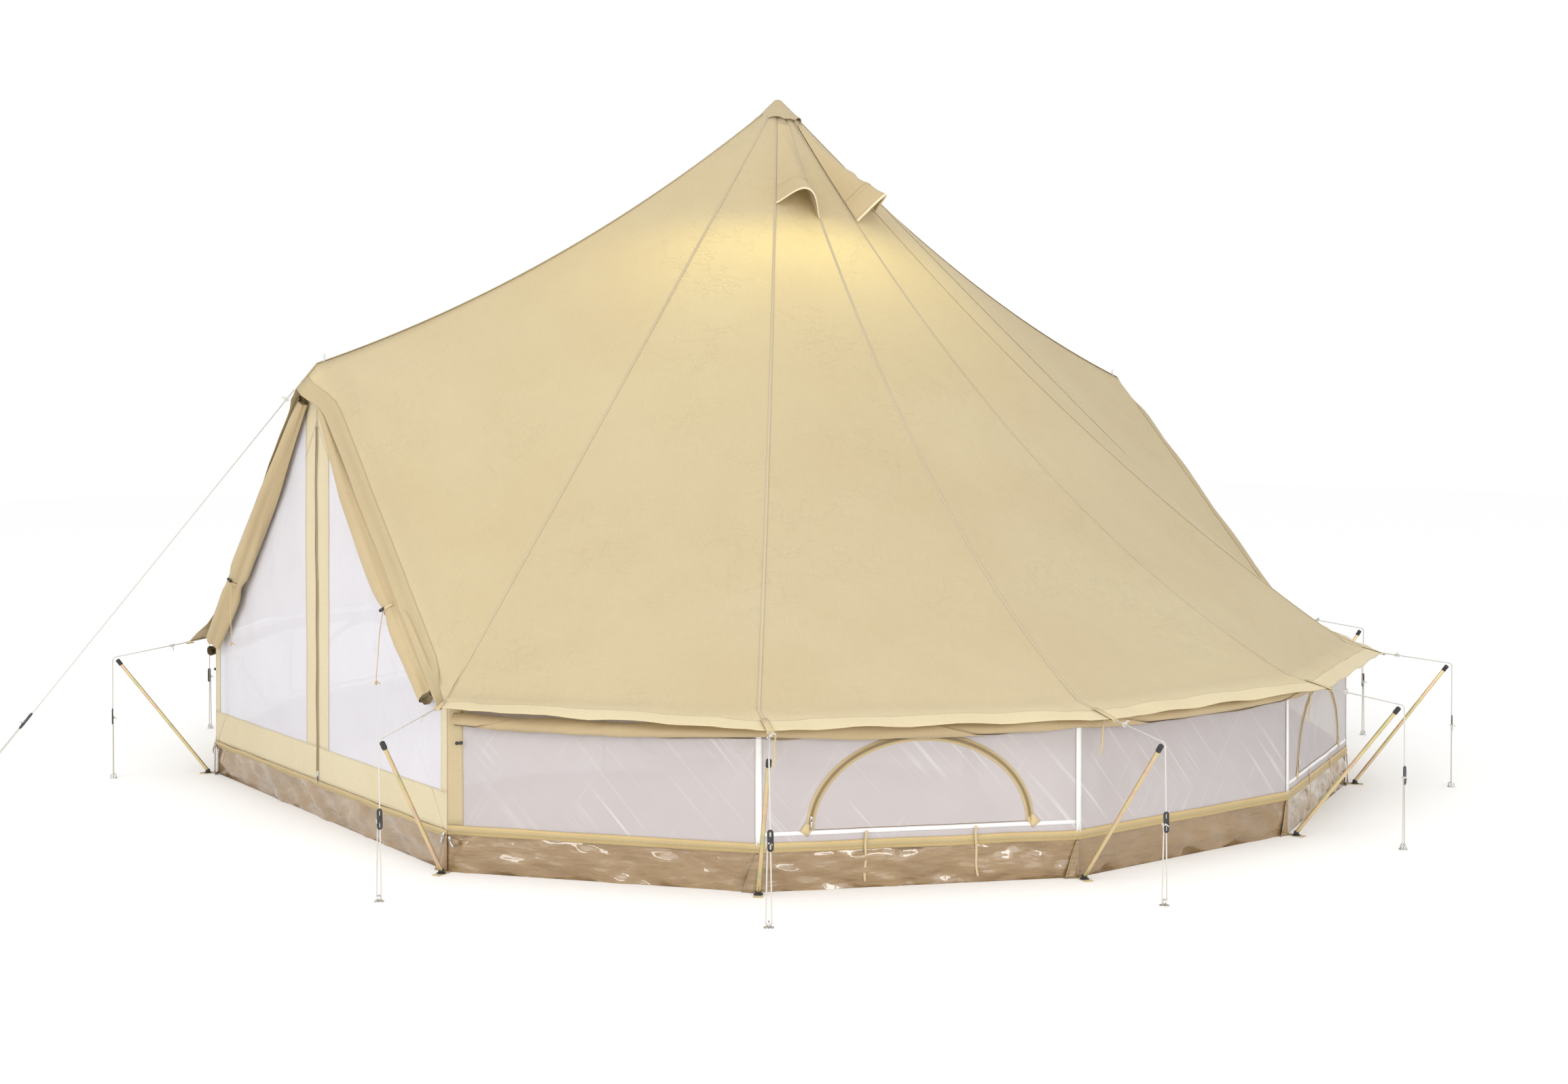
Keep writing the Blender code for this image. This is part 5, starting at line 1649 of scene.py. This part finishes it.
def make_tub():
    """Upstand and floor in one sheet, folded corner gussets, and the base zip round the walls."""
    grids = []
    count = len(CORNER_ANGLES)
    corners = CORNER_ANGLES + [CORNER_ANGLES[0]]
    for i in range(count):
        first, second = corners[i], corners[i + 1]
        if second < first:
            second += 360
        rows, places = [], []
        width = (wall_spot(second, 0) - wall_spot(first, 0)).length
        for k in range(15):
            height = TUB_HEIGHT * (1 - k / 14)
            rows.append([tuple(tub_place(first, second, j / 64, height, i * 5.3)) for j in range(65)])
            places.append([(width * j / 64, height) for j in range(65)])
        grids.append((np.array(rows), np.array(places), 0))
        floor, spread = [], []
        for k in range(13):
            share = 1 - k / 12
            row, uv = [], []
            for j in range(65):
                edge = wall_spot(first, 0).lerp(wall_spot(second, 0), j / 64)
                x, y = edge.x * share, edge.y * share
                row.append((x, y, 0.0022 * (1 + noise.noise(Vector((x * 3, y * 3, 2)))) * min(1, k)))
                uv.append((x, y))
            floor.append(row)
            spread.append(uv)
        grids.append((np.array(floor), np.array(spread), 0))
    tub = piece("welded_tub", grids, PVC, replaces=("groundsheet_tub",))
    gussets = [make_gusset(i, angle) for i, angle in enumerate(CORNER_ANGLES, start=1)]
    for side, sign in SIDES.items():
        path, normals = [], []
        for panel in range(1, SIDE_PANELS + 1):
            half = wall_width(panel, TUB_HEIGHT) / 2
            for j in range(41):
                if j == 0 and panel > 1:
                    continue
                x = half * (2 * j / 40 - 1)
                sway = 0.0022 * noise.noise(Vector((x * 5, panel * 2.0, sign)))
                path.append(wall_place(panel, sign, x, TUB_HEIGHT + 0.006 + sway, 0.0025, False))
                normals.append(wall_normal(panel, sign))
        piece(f"base_zip_{side}", [zip_tape(path, ZIP_WIDTH, normals)], ZIP_TAN, caps="all")
    for end_name, end in ENDS.items():
        path = []
        for j in range(81):
            x = outer_x(TUB_HEIGHT) * (2 * j / 80 - 1)
            sway = 0.003 * noise.noise(Vector((x * 6, end, 2.0)))
            path.append(door_spot(x, TUB_HEIGHT - 0.010 + sway, 0.0035, end))
        piece(f"base_zip_{end_name}_door", [zip_tape(path, 0.024, Vector((0, -end, 0)))], ZIP_TAN,
              caps="all")


def make_gusset(index, angle):
    """The triangle of spare sheet at a corner, folded flat against the upstand."""
    toward = 1 if angle > 0 else -1
    rows, places = [], []
    for i in range(13):
        level = i / 12
        height = (TUB_HEIGHT - 0.012) * (1 - level)
        row, uv = [], []
        for j in range(11):
            share = j / 10
            reach = (0.010 + 0.046 * level) * share
            turn = angle - toward * math.degrees(reach / BASE_RADIUS)
            chord = 0.0004 + 0.10 * reach * (1 - share * 0.25)
            swell = 0.0070 * math.sin(math.pi * min(1.0, share * 1.25 + 0.12)) * (0.4 + 0.6 * level)
            curl = 0.0020 * math.sin(5 * level + index)
            row.append(tuple(wall_spot(turn, height, 0.003 + swell + curl * share - chord * 0.25)))
            uv.append((reach, height))
        rows.append(row)
        places.append(uv)
    gusset = piece(f"tub_gusset_{index:02d}", [(np.array(rows), np.array(places), 0)], PVC)
    thicken(gusset, 0.0014)
    return gusset


# ---------------------------------------------------------------- struts and corner fittings

def make_strut(index, angle):
    """A plated tube with a grooved cap and a ball foot on a disc."""
    foot = spot(angle, STRUT_FOOT_RADIUS, 0.012)
    head = spot(angle + PITCH_TWIST, STRUT_HEAD_RADIUS, STRUT_HEAD_HEIGHT)
    along = (head - foot).normalized()
    length = (head - foot).length
    rod = [(STRUT_RADIUS, length * i / 24) for i in range(25)]
    cap = [(0.0, length + 0.0045), (0.006, length + 0.0045), (0.0085, length + 0.0025), (0.0092, length)]
    for i in range(4):
        base = length - 0.004 - 0.0045 * i
        cap += [(0.0094, base), (0.0080, base - 0.0008), (0.0080, base - 0.0019), (0.0094, base - 0.0027)]
    cap += [(0.0090, length - 0.0235), (0.0076, length - 0.0240)]
    sole = [(0.0, 0.0070), (0.010, 0.0066), (0.0142, 0.0052), (0.0158, 0.0034), (0.0158, 0.0016),
            (0.0, 0.0016)]
    turns = [math.pi * i / 10 for i in range(1, 10)]
    ball = [(0.0105 * math.sin(turn), 0.0115 + 0.0095 * math.cos(turn)) for turn in turns]
    ball = [(0.0, 0.0205), *ball, (0.0, 0.003)]
    ground = Vector((foot.x, foot.y, 0))
    grids = [lathe(rod, foot, along, 20, 0), lathe(cap, foot, along, 24, 1),
             lathe(sole, ground, UP, 28, 1), lathe(ball, ground, UP, 20, 1)]
    piece(f"corner_strut_{index:02d}", grids, [ZINC, RUBBER],
          replaces=(f"strut_{index:02d}",))
    outward = spot(angle, 1, 0).normalized()
    tab = [wall_spot(angle, 0.0, -0.004) + UP * 0.0008, ground + UP * 0.0006,
           ground + outward * 0.034 + UP * 0.0006]
    grommet = [(0.0040, 0.0022), (0.0062, 0.0030), (0.0084, 0.0022), (0.0086, 0.0012)]
    piece(f"foot_tab_{index:02d}", [tape(tab, 0.030, TAPE, UP), lathe(grommet, ground + outward * 0.024, UP)],
          [WEBBING_TAN], caps=(0,))


def make_hem_loop(index, angle):
    """The webbing loop sewn to the hem's corner."""
    end = loop_spot(angle)
    start = ridge_spot(angle, 1).lerp(end, 0.45)
    fall = (end - start).normalized()
    path = [start + UP * 0.003, start.lerp(end, 0.6) + UP * 0.003, end + fall * 0.004 + UP * 0.002]
    for i in range(1, 7):
        turn = math.pi * i / 6
        path.append(end + fall * (0.004 + 0.009 * math.sin(turn)) + UP * (0.002 * math.cos(turn) - 0.002))
    path.append(start.lerp(end, 0.7) - UP * 0.005)
    normals = [UP] * 3
    for i in range(1, 7):
        turn = math.pi * i / 6
        normals.append((UP * math.cos(turn) + fall * math.sin(turn)).normalized())
    normals.append(-UP)
    piece(f"hem_loop_{index:02d}", [tape(path, 0.024, 0.0013, normals)], WEBBING_TAN,
          caps="all")


def make_corner_zip_pulls():
    """Two sliders meet where a door's base zip ends beside its corner."""
    for end_name, end in ENDS.items():
        for side, sign in SIDES.items():
            angle = door_corner(end, sign)
            outward = spot(angle, 1, 0).normalized()
            aside = UP.cross(outward)
            for number, shift in enumerate((-0.012, 0.014), start=1):
                place = wall_spot(angle, TUB_HEIGHT + 0.004 - 0.012 * number, 0.008) + aside * shift
                pull_tab(f"corner_pull_{end_name}_{side}_{number}", place, -UP + aside * shift * 30, outward)
            keeper = [place + aside * 0.02 * i - UP * 0.012 + outward * 0.001 for i in range(3)]
            piece(f"zip_keeper_{end_name}_{side}", [tape(keeper, 0.022, TAPE, outward)], PVC,
                  caps="all")
            beside = wall_spot(angle + sign * end * 1.25, 0.452, 0.010)
            toggle(f"wall_toggle_{end_name}_{side}", beside, UP.cross(outward) + UP * 0.15, length=0.026)


def finish_frame_nodes():
    """Poles and A-frames keep the frame's own solids, in galvanised steel."""
    for name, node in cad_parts.items():
        if node.hide_render or name.endswith("slider"):
            continue
        node.data.materials.clear()
        node.data.materials.append(STEEL)
        node.data.shade_smooth()
        node.data.set_sharp_from_angle(angle=math.radians(35))


make_camera()
make_guys()
make_roof()
make_cap()
make_vents()
for side_name, side_sign in SIDES.items():
    make_wall(side_name, side_sign)
    make_wall_roll(side_name, side_sign)
for door_name, door_end in ENDS.items():
    make_slider_pull(door_name, door_end)
    for side_name, side_sign in SIDES.items():
        make_leaf(door_name, door_end, side_name, side_sign)
        make_door_side(door_name, door_end, side_name, side_sign)
        make_door_roll(door_name, door_end, side_name, side_sign)
make_tub()
for corner_number, corner_at in enumerate(CORNER_ANGLES, start=1):
    make_strut(corner_number, corner_at)
    make_hem_loop(corner_number, corner_at)
make_corner_zip_pulls()
finish_frame_nodes()
make_light()
make_floor()
